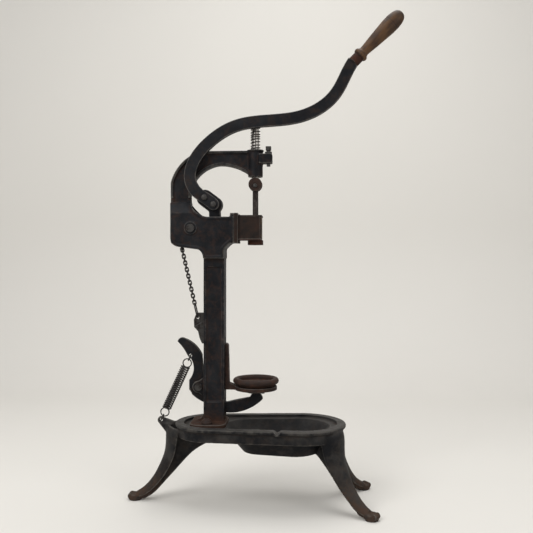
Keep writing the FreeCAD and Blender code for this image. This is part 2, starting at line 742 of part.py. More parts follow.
def strip_between(curve, low_share, high_share, low_side, high_side, steps, round_start=False):
    """A face along the curve between two distances from it."""
    shares = [low_share + (high_share - low_share) * k / steps for k in range(steps + 1)]
    near = [beside(curve, share, low_side) for share in shares]
    far = [beside(curve, share, high_side) for share in shares]
    if round_start:
        middle = (near[0] + far[0]) * 0.5
        heading = curve.tangent(curve.FirstParameter)[0]
        start = Part.Arc(far[0], middle - heading * (far[0] - near[0]).Length * 0.5, near[0]).toShape()
    else:
        start = Part.makeLine(far[0], near[0])
    return Part.Face(Part.Wire([
        spline_edge(near), Part.makeLine(near[-1], far[-1]), spline_edge(far[::-1]), start,
    ]))


def handle_frame():
    """Where the handle begins in the bar's plane, and its lean."""
    middle = size_value("bar_back") - size_value("bar_thick") / 2.0
    start = Vector(size_value("handle_x"), middle, size_value("handle_z"))
    return FreeCAD.Placement(start, FreeCAD.Rotation(Vector(0, 1, 0), size_value("handle_lean")))


def lever_bolt_places():
    return [(-20.0, 649.1), (-0.9, 634.7)]


def lever_bar():
    """S-shaped bar with its pushing rib, tang and two bolt holes."""
    half = size_value("bar_width") / 2.0
    thick = size_value("bar_thick")
    back = size_value("bar_back")
    curve = lever_line()
    strip = strip_between(curve, 0.0, 1.0, -half, half, 24, round_start=True)
    strip.translate(Vector(0, back - thick, 0))
    bar = strip.extrude(Vector(0, thick, 0))
    rib_face = strip_between(curve, size_value("rib_start"), size_value("rib_end"),
                             half - size_value("rib_thick"), half - size_value("rib_drop"), 6)
    rib_face.translate(Vector(0, back, 0))
    rib = rib_face.extrude(Vector(0, size_value("rib_back") - back, 0))
    side = size_value("tang_side")
    tang = Part.makeBox(side, side, 96.0, Vector(-side / 2.0, -side / 2.0, -6.0))
    tang.Placement = handle_frame()
    beyond = Part.makeBox(90.0, 90.0, 90.0, Vector(-45.0, -45.0, 0.0))
    beyond.Placement = handle_frame()
    holes = [Part.makeCylinder(4.1, 60.0, Vector(x, -50.0, z), Vector(0, 1, 0))
             for x, z in lever_bolt_places()]
    return bar.fuse(rib).cut([beyond] + holes).fuse([tang]).removeSplitter()


def capsule(start, finish, radius, front, back):
    """An upright plate with round ends between two points in XZ."""
    a = upright(*start)
    b = upright(*finish)
    along = (b - a).normalize()
    side = Vector(-along.z, 0, along.x) * radius
    wire = Part.Wire([
        Part.makeLine(a - side, b - side),
        Part.Arc(b - side, b + along * radius, b + side).toShape(),
        Part.makeLine(b + side, a + side),
        Part.Arc(a + side, a - along * radius, a - side).toShape(),
    ])
    return side_plate(wire, front, back)


def rocker():
    """Toe plate, hub on the axle and tail for the chain."""
    axle = (size_value("axle_x"), size_value("axle_z"))
    upper = lever_bolt_places()[0]
    lower = lever_bolt_places()[1]
    knee = (2.0, 594.0)
    front = size_value("bar_back")
    back = size_value("rocker_half")
    inside = size_value("head_half") - size_value("head_wall") - 0.5
    hub = Part.makeCylinder(17.0, 2.0 * inside, Vector(axle[0], -inside, axle[1]), Vector(0, 1, 0))
    plates = [
        capsule(upper, lower, 18.0, front, back),
        capsule(axle, knee, 12.0, front, back),
        capsule(knee, lower, 12.0, front, back),
        capsule(axle, chain_top(), 6.5, -3.0, 3.0),
    ]
    solid = hub.fuse(plates)
    holes = [
        Part.makeCylinder(size_value("axle_bore") / 2.0 + size_value("running"), 80.0,
                          Vector(axle[0], -40.0, axle[1]), Vector(0, 1, 0)),
        Part.makeCylinder(3.2, 20.0, Vector(chain_top()[0], -10.0, chain_top()[1]), Vector(0, 1, 0)),
    ]
    for x, z in lever_bolt_places():
        holes.append(Part.makeCylinder(4.1, 60.0, Vector(x, -30.0, z), Vector(0, 1, 0)))
    return solid.cut(holes).removeSplitter()


def lever_bolts():
    """Two bolts through the bar and the toe, with nuts behind."""
    front = size_value("bar_back") - size_value("bar_thick")
    back = size_value("rocker_half")
    bolts = []
    for x, z in lever_bolt_places():
        shank = Part.makeCylinder(4.0, back - front + 8.0, Vector(x, front, z), Vector(0, 1, 0))
        head = revolved([(0, 0), (6.5, 0), (6.5, 2.5), (4.5, 4.5), (0, 5)],
                        Vector(x, front, z), Vector(0, -1, 0))
        nut = hex_prism(13.0, 6.0, Vector(x, back, z), Vector(0, 1, 0))
        bolts.append(head.fuse([shank, nut]).removeSplitter())
    return Part.makeCompound(bolts)


# Chain, links and wire forms

def chain_top():
    """Hole in the rocker's tail that carries the chain."""
    return (-74.0, 552.0)


def shoe_eye():
    """Hole in the lock shoe's lug that takes the chain's hook."""
    return (-size_value("column_wide") / 2.0 - 14.5, size_value("shoe_top") - 11.0)


def wire_link(length, width, wire):
    """A closed oval link about the origin, long way along Z, flat in XZ."""
    bend = width / 2.0 - wire / 2.0
    run = length / 2.0 - width / 2.0
    corners = [Vector(bend, 0, -run), Vector(bend, 0, run), Vector(-bend, 0, run), Vector(-bend, 0, -run)]
    path = Part.Wire([
        Part.makeLine(corners[0], corners[1]),
        Part.Arc(corners[1], Vector(0, 0, run + bend), corners[2]).toShape(),
        Part.makeLine(corners[2], corners[3]),
        Part.Arc(corners[3], Vector(0, 0, -run - bend), corners[0]).toShape(),
    ])
    ring = Part.Wire(Part.makeCircle(wire / 2.0, corners[0], Vector(0, 0, 1)))
    return path.makePipeShell([ring], True, False)


def chain_axis():
    top = upright(*chain_top())
    low = upright(*shoe_eye())
    return top, (low - top).normalize(), (low - top).Length


def chain_links():
    """Oval links, each turned a quarter from the one before."""
    wire = size_value("chain_wire")
    length = size_value("chain_link")
    pitch = length - 2.0 * wire - 0.15
    top, along, total = chain_axis()
    shackle_long = size_value("shackle_long")
    shackle = wire_link(shackle_long, size_value("shackle_wide"), wire)
    shackle.Placement = FreeCAD.Placement(top + along * (shackle_long / 2.0 - wire / 2.0),
                                          FreeCAD.Rotation(Vector(0, 0, 1), along).multiply(
                                              FreeCAD.Rotation(Vector(0, 0, 1), 90.0)))
    first = first_link()
    links = [shackle]
    for number in range(chain_count()):
        link = wire_link(length, length * 0.72, wire)
        turn = FreeCAD.Rotation(Vector(0, 0, 1), along)
        spin = FreeCAD.Rotation(Vector(0, 0, 1), 90.0 if number % 2 else 0.0)
        link.Placement = FreeCAD.Placement(top + along * (first + number * pitch), turn.multiply(spin))
        links.append(link)
    return Part.makeCompound(links)


def first_link():
    """Distance of the first small link's middle down the chain."""
    wire = size_value("chain_wire")
    return size_value("shackle_long") - 2.0 * wire - 0.15 + size_value("chain_link") / 2.0 - 1.5 * wire


def chain_count():
    """As many small links as leave room for the hook; the last lies flat."""
    wire = size_value("chain_wire")
    pitch = size_value("chain_link") - 2.0 * wire - 0.15
    return int((chain_axis()[2] - first_link() - 24.0) / pitch) // 2 * 2 + 1


def chain_hook():
    """Long open link between the chain and the shoe's eye."""
    wire = size_value("chain_wire")
    pitch = size_value("chain_link") - 2.0 * wire - 0.15
    top, along, total = chain_axis()
    last = first_link() + (chain_count() - 1) * pitch
    near = last + size_value("chain_link") / 2.0 - 2.0 * wire - 0.15
    length = total - near + wire / 2.0
    hook = wire_link(length, 2.0 * 7.6 + 2.0 * wire, wire)
    slit = Part.makeBox(6.0, 6.0, 2.0, Vector(2.0, -3.0, -1.0))
    hook = hook.cut(slit)
    hook.Placement = FreeCAD.Placement(top + along * (near + length / 2.0),
                                       FreeCAD.Rotation(Vector(0, 0, 1), along).multiply(
                                           FreeCAD.Rotation(Vector(0, 0, 1), 90.0)))
    return hook


def biarc(start, way, finish, end_way):
    """Two tangent arcs from one point and heading to another."""
    span = finish - start
    both = way + end_way
    spread = 2.0 * (1.0 - way.dot(end_way))
    reach = (-span.dot(both) + math.sqrt(span.dot(both) ** 2 + spread * span.dot(span))) / spread
    first = start + way * reach
    second = finish - end_way * reach
    middle = (first + second) * 0.5
    return [bent(start, first, middle), bent(middle, second, finish)]


def bent(start, corner, finish):
    """The arc that touches both legs of a corner."""
    middle = (start + finish) * 0.5
    half = (finish - start).Length / 2.0
    rise = (corner - middle).Length
    sag = half * math.tan(math.atan2(rise, half) / 2.0)
    return Part.Arc(start, middle + (corner - middle).normalize() * sag, finish).toShape()


def coil(radius, wire, length, turns):
    """One unbroken wire round the Z axis from 0 to length. Its ends run
    straight up for one wire diameter."""
    bend = 0.12
    low = wire * 2.2
    high = length - wire * 2.2
    pitch = (high - low) / (turns - 2.0 * bend)

    def point(turn):
        angle = 2.0 * math.pi * turn
        return Vector(radius * math.cos(angle), radius * math.sin(angle), low + (turn - bend) * pitch)

    def way(turn):
        angle = 2.0 * math.pi * turn
        rise = pitch / (2.0 * math.pi)
        return Vector(-radius * math.sin(angle), radius * math.cos(angle), rise).normalize()

    up = Vector(0, 0, 1)
    foot = Vector(radius, 0, 0)
    angle = 2.0 * math.pi * turns
    head = Vector(radius * math.cos(angle), radius * math.sin(angle), length)
    edges = [Part.makeLine(foot, foot + up * wire)]
    edges += biarc(foot + up * wire, up, point(bend), way(bend))
    quarters = int(round((turns - 2.0 * bend) * 4))
    stops = [bend + (turns - 2.0 * bend) * k / quarters for k in range(quarters + 1)]
    for before, after in zip(stops[:-1], stops[1:]):
        edges += biarc(point(before), way(before), point(after), way(after))
    edges += biarc(point(stops[-1]), way(stops[-1]), head - up * wire, up)
    edges.append(Part.makeLine(head - up * wire, head))
    path = Part.Wire(edges)
    ring = Part.Wire(Part.makeCircle(wire / 2.0, foot, up))
    print("coil: least gap between turns %.2f mm" % (pitch - wire))
    return path.makePipeShell([ring], True, False)


# The platform and its lever

def platform_lever():
    """Curved arm under the platform, hub and horned tail."""
    half = size_value("rocker_thick") / 2.0
    pivot = (size_value("pivot_x"), size_value("pivot_z"))
    nose = (size_value("plunger_x") + 2.0, size_value("bracket_bottom") - size_value("seat_gap") - 14.0)
    arm = side_outline([
        (pivot[0] - 16.0, pivot[1] - 16.0), (-16.0, 209.5, -37.0, 219.0), (27.0, 190.0, 5.0, 196.5),
        (nose[0] + 14.0, nose[1], 83.0, 204.0),
        (nose[0] - 14.0, nose[1] + 4.0, nose[0] + 2.0, nose[1] + 14.0),
        (27.0, 213.5, 55.0, 220.0), (-4.0, 226.0, 10.0, 216.5), (pivot[0] + 14.0, pivot[1] + 14.0),
    ])
    tail = side_outline([
        (pivot[0] - 21.0, pivot[1] - 8.0), (pivot[0] - 21.0, pivot[1] + 14.0),
        (-51.0, 304.0, -46.0, 281.0), (-61.0, 316.0, -56.5, 309.0), (-80.5, 342.0, -69.0, 329.0),
        (-65.0, 349.0, -74.0, 350.0), (-27.0, 314.0, -44.0, 337.0), (-24.5, 280.0),
        (pivot[0] + 14.0, pivot[1] + 8.0),
    ])
    hub = Part.makeCylinder(21.0, 2.0 * half, Vector(pivot[0], -half, pivot[1]), Vector(0, 1, 0))
    solid = hub.fuse([side_plate(arm, -half, half), side_plate(tail, -half, half)])
    hole_x, hole_z = tail_hole()
    holes = [
        Part.makeCylinder(size_value("pin_radius") + size_value("running"), 60.0,
                          Vector(pivot[0], -30.0, pivot[1]), Vector(0, 1, 0)),
        Part.makeCylinder(3.3, 40.0, Vector(hole_x, -20.0, hole_z), Vector(0, 1, 0)),
    ]
    return solid.cut(holes).removeSplitter()


def tail_hole():
    return (-52.5, 312.0)


def spring_frame():
    """Where the tension spring runs: ear end, tail end and heading."""
    low = upright(size_value("ear_x"), size_value("ear_z"))
    high = upright(*tail_hole())
    return low, high, (high - low).normalize()


def hook_rings():
    """Centres of the two rings that carry the spring's eyes, through the
    tail's hole and through the ear's, and their radius."""
    low, high, along = spring_frame()
    ring = size_value("rocker_thick") / 2.0 + size_value("coil_wire") / 2.0 + 0.5
    play = 1.1
    return high - along * (ring - play), low + along * (ring - play), ring


def hook_torus(centre, ring):
    along = spring_frame()[2]
    return Part.makeTorus(ring, size_value("coil_wire") / 2.0, centre, Vector(along.z, 0, -along.x))


def spring_hook():
    upper, lower, ring = hook_rings()
    return hook_torus(upper, ring)


def spring_anchor():
    upper, lower, ring = hook_rings()
    return hook_torus(lower, ring)


def eye_places():
    """Centres of the round eyes above and below the coil."""
    along = spring_frame()[2]
    upper, lower, ring = hook_rings()
    away = ring - size_value("coil_wire") - size_value("seat_gap") + size_value("eye_radius")
    return upper - along * away, lower + along * away


def eye_torus(centre):
    return Part.makeTorus(size_value("eye_radius"), size_value("coil_wire") / 2.0, centre, Vector(0, 1, 0))


def spring_upper_eye():
    return eye_torus(eye_places()[0])


def spring_lower_eye():
    return eye_torus(eye_places()[1])


def coil_span():
    """Start of the coil on its axis and its length. The coil's ends
    meet the outside of the two eyes."""
    upper, lower = eye_places()
    along = spring_frame()[2]
    wire = size_value("coil_wire")
    inside = size_value("coil_radius") - wire / 2.0
    outside = size_value("eye_radius") + wire / 2.0
    seat = math.sqrt(max(outside ** 2 - inside ** 2, 0.0)) + size_value("seat_gap")
    start = lower + along * seat
    finish = upper - along * seat
    return start, (finish - start).Length, along


def tension_spring():
    start, length, along = coil_span()
    spring = coil(size_value("coil_radius"), size_value("coil_wire"), length, 21.0)
    spring.Placement = FreeCAD.Placement(start, FreeCAD.Rotation(Vector(0, 0, 1), along))
    return spring


def platform_bracket():
    """Round plate and hub under the platform, with its guide leg."""
    low = size_value("bracket_bottom")
    wide = size_value("column_wide") / 2.0
    gap = size_value("seat_gap")
    centre = size_value("plunger_x") + 1.0
    radius = size_value("platform_radius") - 4.0
    plate = Part.makeCylinder(radius, 8.0, upright(centre, low + 6.0))
    hub = Part.makeCylinder(21.0, 8.0, upright(centre, low))
    face = wide + gap
    leg = side_plate(side_outline([
        (face, low + 6.0), (centre - 30.0, low + 6.0), (centre - 41.0, low + 14.0), (face + 9.0, low + 21.0),
        (face + 7.0, size_value("bracket_top") - 5.0), (face, size_value("bracket_top"),
                                                        face + 5.0, size_value("bracket_top") - 1.5),
    ]), -9.0, 9.0)
    tongue = block(face - size_value("column_wall") - 2.0 * gap, face + 1.0, -3.7, 3.7,
                   low + 20.0, size_value("bracket_top") - 8.0)
    inner = face - size_value("column_wall") - 2.0 * gap
    keeper = block(inner - 4.0, inner, -9.0, 9.0, low + 20.0, size_value("bracket_top") - 8.0)
    return plate.fuse([hub, leg, tongue, keeper]).removeSplitter()


def platform_screw_circle():
    """The three platform screws, from the platform's axis."""
    circle = size_value("screw_circle")
    angles = [math.radians(120.0 * k + 60.0) for k in range(3)]
    return [(circle * math.cos(angle), circle * math.sin(angle)) for angle in angles]


def platform_axis():
    """The platform's axis, a step to the right of the plunger's."""
    return size_value("plunger_x") + 1.0


def platform_screws():
    screws = []
    low = size_value("bracket_bottom")
    for x, y in platform_screw_circle():
        place_at = Vector(platform_axis() + x, y, low + 6.0)
        screws.append(revolved([(0, -3.5), (4.5, -3.5), (4.5, 0), (2.4, 0), (2.4, 12.0), (0, 12.0)],
                               place_at, Vector(0, 0, 1)))
    return Part.makeCompound(screws)


def screw_clearance(shape):
    """Cut the platform screws' bores out of a plate."""
    low = size_value("bracket_bottom")
    bores = []
    for x, y in platform_screw_circle():
        bores.append(Part.makeCylinder(2.5, 12.2, Vector(platform_axis() + x, y, low + 6.0)))
    return shape.cut(bores)


# Turned and milled pieces, drawn as sketches

def make_turned_pieces():
    rod = named("rod_radius")
    run = named("running")
    guide = named("plunger_x")
    bush = turned("guide_bush", ring_profile(rod + run, rod + run + named("bush_wall"),
                                             as_size(0), named("arm_top") + 2.0 - named("guide_bottom")))
    place(bush, guide, 0, named("guide_bottom"))

    cap_low = named("cap_top") - named("cap_thick")
    rod_low = named("knuckle_z") + 4.0
    rod_long = named("cap_top") - 2.0 - rod_low
    plunger_rod = turned("plunger_rod", ring_profile(as_size(0), rod, as_size(0), rod_long))
    place(plunger_rod, guide, 0, rod_low)

    reach = named("spring_radius") + 1.5
    cap = turned("rod_cap", [
        (rod, as_size(0)), (reach, as_size(0)), (reach, named("cap_thick") - 1.5),
        (reach - 1.5, named("cap_thick")), (0, named("cap_thick")),
        (0, named("cap_thick") - 2.0), (rod, named("cap_thick") - 2.0),
    ])
    place(cap, guide, 0, cap_low)

    ram = turned("lower_plunger", [
        (0, 0), (named("ram_radius") - 1.0, 0), (named("ram_radius"), 1.0),
        (named("ram_radius"), rod_low - named("ram_bottom")), (0, rod_low - named("ram_bottom")),
    ])
    place(ram, guide, 0, named("ram_bottom"))

    collar = turned("mouth_collar", [
        (named("mouth_bore"), named("box_bottom") - 3.0 - named("mouth_bottom")),
        (named("mouth_bore"), 4.0), (named("mouth_radius") - 1.4, 0), (named("mouth_radius"), 0),
        (named("mouth_radius"), named("box_bottom") - 3.0 - named("mouth_bottom")),
    ])
    place(collar, guide, 0, named("mouth_bottom"))

    axle = named("axle_bore") * 0.5
    half = named("head_half") + 3.0
    pin = turned("lever_axle", [
        (0, 0), (axle + 1.5, 0), (axle + 1.5, 3.0), (axle, 3.0),
        (axle, half * 2.0 + 12.0), (0, half * 2.0 + 12.0),
    ])
    place(pin, named("axle_x"), -(half + 3.0), named("axle_z"), ALONG_Y)

    pin_radius = named("pin_radius")
    ear = named("rocker_thick") * 0.5 + named("seat_gap") + 6.0
    pivot = turned("platform_lever_pin", [
        (0, 0), (pin_radius + 3.0, 0), (pin_radius + 3.0, 3.0), (pin_radius, 3.0),
        (pin_radius, ear * 2.0 + 6.0), (0, ear * 2.0 + 6.0),
    ])
    place(pivot, named("pivot_x"), -(ear + 3.0), named("pivot_z"), ALONG_Y)

    bead = named("platform_bead")
    edge = named("platform_radius")
    dish = turned("platform_dish", [
        (0, as_size(0)), (edge - bead - 4.0, as_size(0)),
        (edge - bead, 4.5), (edge, bead + 4.5, bead), (edge - bead, bead * 2.0 + 4.5, bead),
        (edge - bead * 2.0, bead + 4.5, bead),
        (edge - bead * 2.0, 7.0), (0, 7.0),
    ])
    screw_seats = new_sketch(dish, "XY_Plane", "screw_seats")
    for x, y in platform_screw_circle():
        draw_circle(screw_seats, x, y, 2.5)
    pocket(dish, screw_seats, 4.2, reverse=True, name="ScrewSeats")
    place(dish, guide + 1.0, 0, named("bracket_bottom") + 14.0)

    middle = named("bar_back") - named("bar_thick") * 0.5
    lean = handle_frame().Rotation
    ferrule_long = named("ferrule_long")
    outer = named("ferrule_radius")
    ferrule = turned("handle_ferrule", ring_profile(outer - 1.8, outer, as_size(0), ferrule_long))
    place(ferrule, named("handle_x"), middle, named("handle_z"), lean)

    grip_radius = named("grip_radius")
    tall = ferrule_long + named("grip_long")
    grip = turned("handle_grip", [
        (0, 0), (outer - 1.8, 0), (outer - 1.8, ferrule_long), (outer + 2.6, ferrule_long + 1.0),
        (outer + 2.6, ferrule_long + 8.0, 4.6), (outer - 1.4, ferrule_long + 15.0),
        (grip_radius, tall - 36.0, 420.0), (grip_radius - 3.6, tall - 9.0, 120.0),
        (2.0, tall, 12.0), (0, tall),
    ])
    hole = new_sketch(grip, "XY_Plane", "tang_hole")
    side = named("tang_side") * 0.5
    draw_outline(hole, [(-side, -side), (side, -side), (side, side), (-side, side)])
    pocket(grip, hole, 90.0, reverse=True)
    place(grip, named("handle_x"), middle, named("handle_z"), lean)


def make_knuckle():
    """Round boss that clamps the lower plunger to the rod."""
    body = new_body("clamp_knuckle")
    face = new_sketch(body, "XZ_Plane", "knuckle_face")
    draw_circle(face, 0, 0, named("knuckle_radius"))
    pad(body, face, 22.0, both=True)
    upper = new_sketch(body, "XY_Plane", "rod_seat")
    draw_circle(upper, 0, 0, named("rod_radius"))
    upper.AttachmentOffset = FreeCAD.Placement(Vector(0, 0, 4.0), FreeCAD.Rotation())
    pocket(body, upper, 30.0, reverse=True, name="RodSeat")
    lower = new_sketch(body, "XY_Plane", "plunger_seat")
    draw_circle(lower, 0, 0, named("ram_radius"))
    lower.AttachmentOffset = FreeCAD.Placement(Vector(0, 0, 4.0), FreeCAD.Rotation())
    pocket(body, lower, 30.0, name="PlungerSeat")
    tapped = new_sketch(body, "XZ_Plane", "screw_hole")
    draw_circle(tapped, 0, -3.0, 3.2)
    pocket(body, tapped, 20.0, reverse=True, name="ScrewHole")
    place(body, named("plunger_x"), 0, named("knuckle_z"))
    return body


def make_knuckle_screw():
    screw = turned("knuckle_screw", [
        (0, 0), (3.2, 0), (3.2, as_size(11.0) - named("ram_radius")),
        (4.6, as_size(11.0) - named("ram_radius")),
        (4.0, as_size(13.5) - named("ram_radius")), (0, as_size(14.0) - named("ram_radius")),
    ])
    back = FreeCAD.Rotation(Vector(1, 0, 0), 90)
    place(screw, named("plunger_x"), -named("ram_radius"), named("knuckle_z") - 3.0, back)


def make_stop_screw():
    """Square-headed screw that the lever comes down on."""
    body = new_body("stop_screw")
    half = named("stop_head") * 0.5
    head = new_sketch(body, "XY_Plane", "square_head")
    draw_outline(head, [(-half, -half), (half, -half), (half, half), (-half, half)])
    pad(body, head, 8.4)
    shank = new_sketch(body, "XY_Plane", "shank")
    draw_circle(shank, 0, 0, 4.0)
    feature = pad(body, shank, 34.0, name="Shank")
    feature.Reversed = True
    document.recompute()
    place(body, named("stop_x"), named("stop_y"), named("stop_top") - 8.4)
    nut = new_body("stop_locknut")
    flats = new_sketch(nut, "XY_Plane", "nut_outline")
    corner = 13.0 / math.sqrt(3.0)
    draw_outline(flats, [(corner * math.cos(math.radians(60 * k)), corner * math.sin(math.radians(60 * k)))
                         for k in range(6)])
    pad(nut, flats, 4.5)
    bore = new_sketch(nut, "XY_Plane", "nut_bore")
    draw_circle(bore, 0, 0, 4.2)
    pocket(nut, bore, 20.0, both=True)
    place(nut, named("stop_x"), named("stop_y"), named("arm_top") - 8.0)


def make_jaw_set():
    """Jaw housing with its cover, plates, jaws and slide."""
    left = named("head_right")
    right = named("box_right")
    half = named("box_half")
    wall = named("box_wall")
    low = named("box_bottom")
    tall = named("tray_top") + 1.0 - low
    jaw_half = half - 10.0
    axis = named("plunger_x")
    gap = named("seat_gap")
    stroke = named("jaw_stroke")
    flange = as_size(9.0)

    housing = new_body("jaw_housing")
    outer = new_sketch(housing, "XY_Plane", "housing_plan")
    draw_outline(outer, [(left, -half), (right, -half), (right, half), (left, half)])
    pad(housing, outer, tall)
    joint_face = new_sketch(housing, "XY_Plane", "mating_flange")
    head_half = named("head_half")
    draw_outline(joint_face, [(left, -head_half), (left + flange, -head_half), (left + flange, head_half),
                              (left, head_half)])
    joint_face.AttachmentOffset = FreeCAD.Placement(Vector(0, 0, -9.0), FreeCAD.Rotation())
    pad(housing, joint_face, named("tray_top") + 8.0 - low + 9.0, name="MatingFlange")
    inner = new_sketch(housing, "XY_Plane", "jaw_way")
    draw_outline(inner, [(left + wall, -jaw_half), (right + 1.0, -jaw_half), (right + 1.0, jaw_half),
                         (left + wall, jaw_half)])
    pocket(housing, inner, tall * 3.0, both=True, name="JawWay")
    slot = new_sketch(housing, "YZ_Plane", "slide_slot")
    draw_outline(slot, [(-9.0, 14.0), (9.0, 14.0), (9.0, 32.0), (-9.0, 32.0)])
    pocket(housing, slot, (left + wall) * 2.0 + 4.0, both=True, name="SlideSlot")
    screws = new_sketch(housing, "YZ_Plane", "screw_holes")
    for y in (-18.0, 18.0):
        for z in (8.0, 38.0):
            draw_circle(screws, y, z, 3.2)
    pocket(housing, screws, (left + 12.0) * 2.0, both=True, name="ScrewHoles")
    place(housing, 0, 0, low)

    cover = new_body("jaw_cover")
    plan = new_sketch(cover, "XY_Plane", "cover_plan")
    draw_outline(plan, [(left + 9.5, -half - 1.0), (right + 3.0, -half - 1.0), (right + 3.0, half + 1.0),
                        (left + 9.5, half + 1.0)])
    pad(cover, plan, 2.5)
    hole = new_sketch(cover, "XY_Plane", "cork_hole")
    draw_circle(hole, axis - stroke * 0.5, 0, named("cork_radius") + 4.4)
    pocket(cover, hole, 10.0, both=True)
    place(cover, 0, 0, low + tall)

    bottom = new_body("bottom_plate")
    plan = new_sketch(bottom, "XY_Plane", "plate_plan")
    draw_outline(plan, [(left + 9.5, -half), (right + 1.5, -half), (right + 1.5, half), (left + 9.5, half)])
    pad(bottom, plan, 3.0)
    hole = new_sketch(bottom, "XY_Plane", "cork_outlet")
    draw_circle(hole, axis, 0, named("mouth_bore"))
    pocket(bottom, hole, 12.0, both=True)
    place(bottom, 0, 0, low - 3.0)

    def jaw(label, x0, x1, bore_x):
        block_body = new_body(label)
        plan = new_sketch(block_body, "XY_Plane", label + "_plan")
        near = -jaw_half + gap
        far = jaw_half - gap
        draw_outline(plan, [(x0, near), (x1, near), (x1, far), (x0, far)])
        pad(block_body, plan, tall - gap * 2.0)
        groove = new_sketch(block_body, "XY_Plane", label + "_groove")
        draw_circle(groove, bore_x, 0, named("cork_radius"))
        pocket(block_body, groove, tall * 3.0, both=True, name="Groove")
        place(block_body, 0, 0, low + gap)
        return block_body

    jaw("fixed_jaw", axis + gap * 0.5, right + 2.0, axis)
    back = axis - stroke - 19.0
    jaw("moving_jaw", back, axis - stroke - gap * 0.5, axis - stroke)

    slide = new_body("jaw_slide")
    bar = new_sketch(slide, "XY_Plane", "slide_bar")
    nose = left - 6.0 - stroke - gap
    draw_outline(bar, [(nose - 5.5, -8.6), (back, -8.6), (back, 8.6), (nose - 5.5, 8.6)])
    pad(slide, bar, 17.2)
    head = new_sketch(slide, "XY_Plane", "slide_head")
    draw_outline(head, [(nose - 5.5, -11.5), (nose, -11.5), (nose, 11.5), (nose - 5.5, 11.5)])
    pad(slide, head, 24.0, name="Head")
    place(slide, 0, 0, low + 14.4)


def make_lock_shoe():
    """Tapered shoe that slides up and down on the column's back."""
    body = new_body("lock_shoe")
    face = -(named("column_wide") * 0.5) - named("seat_gap")
    top = named("shoe_top") - named("shoe_bottom")
    thick_part = new_sketch(body, "XZ_Plane", "shoe_side")
    draw_outline(thick_part, [
        (face, 0), (face, top), (face - 6.0, top), (face - 6.0, top - 20.0), (face - 22.0, top - 30.0),
        (face - 13.0, top - 40.0), (face - 10.0, 12.0), (face - 4.5, 0),
    ])
    pad(body, thick_part, named("shoe_thick"), both=True)
    lug = new_sketch(body, "XZ_Plane", "eye_lug")
    draw_outline(lug, [
        (face - 5.0, top - 36.0), (face - 5.0, top), (face - 17.0, top), (face - 22.5, top - 15.0),
        (face - 22.0, top - 30.0), (face - 16.0, top - 36.0),
    ])
    pad(body, lug, named("shoe_lug"), both=True, name="EyeLug")
    inner = face + named("column_wall") + named("seat_gap") * 2.0
    tongue = new_sketch(body, "XZ_Plane", "tongue")
    draw_outline(tongue, [(face, 6.0), (inner, 6.0), (inner, top - 6.0), (face, top - 6.0)])
    pad(body, tongue, 7.4, both=True, name="Tongue")
    keeper = new_sketch(body, "XZ_Plane", "keeper")
    draw_outline(keeper, [(inner, 6.0), (inner + 4.0, 6.0), (inner + 4.0, top - 6.0), (inner, top - 6.0)])
    pad(body, keeper, 16.0, both=True, name="Keeper")
    eye = new_sketch(body, "XZ_Plane", "chain_eye")
    eye_x, eye_z = shoe_eye()
    draw_circle(eye, eye_x, as_size(eye_z) - named("shoe_bottom"), 3.0)
    pocket(body, eye, 40.0, both=True, name="ChainEye")
    place(body, 0, 0, named("shoe_bottom"))


def make_axle_nut():
    """Hexagon nut on the back end of the lever axle."""
    body = new_body("axle_nut")
    flats = new_sketch(body, "XY_Plane", "axle_nut_outline")
    corner = 21.0 / math.sqrt(3.0)
    draw_outline(flats, [(corner * math.cos(math.radians(60 * k)), corner * math.sin(math.radians(60 * k)))
                         for k in range(6)])
    pad(body, flats, 8.0)
    bore = new_sketch(body, "XY_Plane", "axle_nut_bore")
    draw_circle(bore, 0, 0, named("axle_bore") * 0.5)
    pocket(body, bore, 30.0, both=True)
    place(body, named("axle_x"), named("head_half") + 3.0, named("axle_z"), ALONG_Y)


def make_castings():
    """Castings, forgings, wire forms and groups of like fasteners."""
    pieces = {
        "base_casting": base_casting(),
        "column_casting": column_casting(),
        "foot_bolts": foot_bolts(),
        "foot_nuts": foot_nuts(),
        "housing_screws": housing_screws(),
        "lever_bar": lever_bar(),
        "rocker": rocker(),
        "lever_bolts": lever_bolts(),
        "chain_links": chain_links(),
        "chain_hook": chain_hook(),
        "platform_lever": platform_lever(),
        "platform_bracket": screw_clearance(platform_bracket()),
        "platform_screws": platform_screws(),
        "spring_hook": spring_hook(),
        "spring_upper_eye": spring_upper_eye(),
        "spring_lower_eye": spring_lower_eye(),
        "spring_anchor": spring_anchor(),
        "tension_spring": tension_spring(),
    }
    for label, shape in pieces.items():
        place(cast(label, shape), 0, 0, 0)
    low = size_value("arm_top") + 2.0
    length = size_value("cap_top") - size_value("cap_thick") - low
    spring = coil(size_value("spring_radius"), size_value("spring_wire"), length, 6.5)
    place(cast("return_spring", spring), named("plunger_x"), 0, named("arm_top") + 2.0)


def sub_parts():
    """Every piece of the corker, by its label."""
    found = {}
    for item in document.Objects:
        own = item.TypeId == "PartDesign::Body" or item.TypeId == "Part::Feature"
        if own:
            found[item.Label] = item
    return found


def write_parts():
    document.recompute()
    for item in document.Objects:
        if "Invalid" in item.State or "Error" in item.State:
            raise ValueError("%s could not be made" % item.Label)
    os.makedirs("parts", exist_ok=True)
    for label, item in sub_parts().items():
        shape = item.Shape
        if shape.isNull() or not shape.isValid():
            raise ValueError("%s has no valid shape" % label)
        shape.exportStep("parts/%s.step" % label)
        print(label, len(shape.Solids), "solid(s), %.0f mm3" % shape.Volume)


make_castings()
make_turned_pieces()
make_knuckle()
make_knuckle_screw()
make_stop_screw()
make_jaw_set()
make_lock_shoe()
make_axle_nut()
write_parts()
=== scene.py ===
"""Double lever wine corker: aged black castings, forged lever, turned wooden
grip, bright plunger, chain and springs, on a plain pale sweep."""

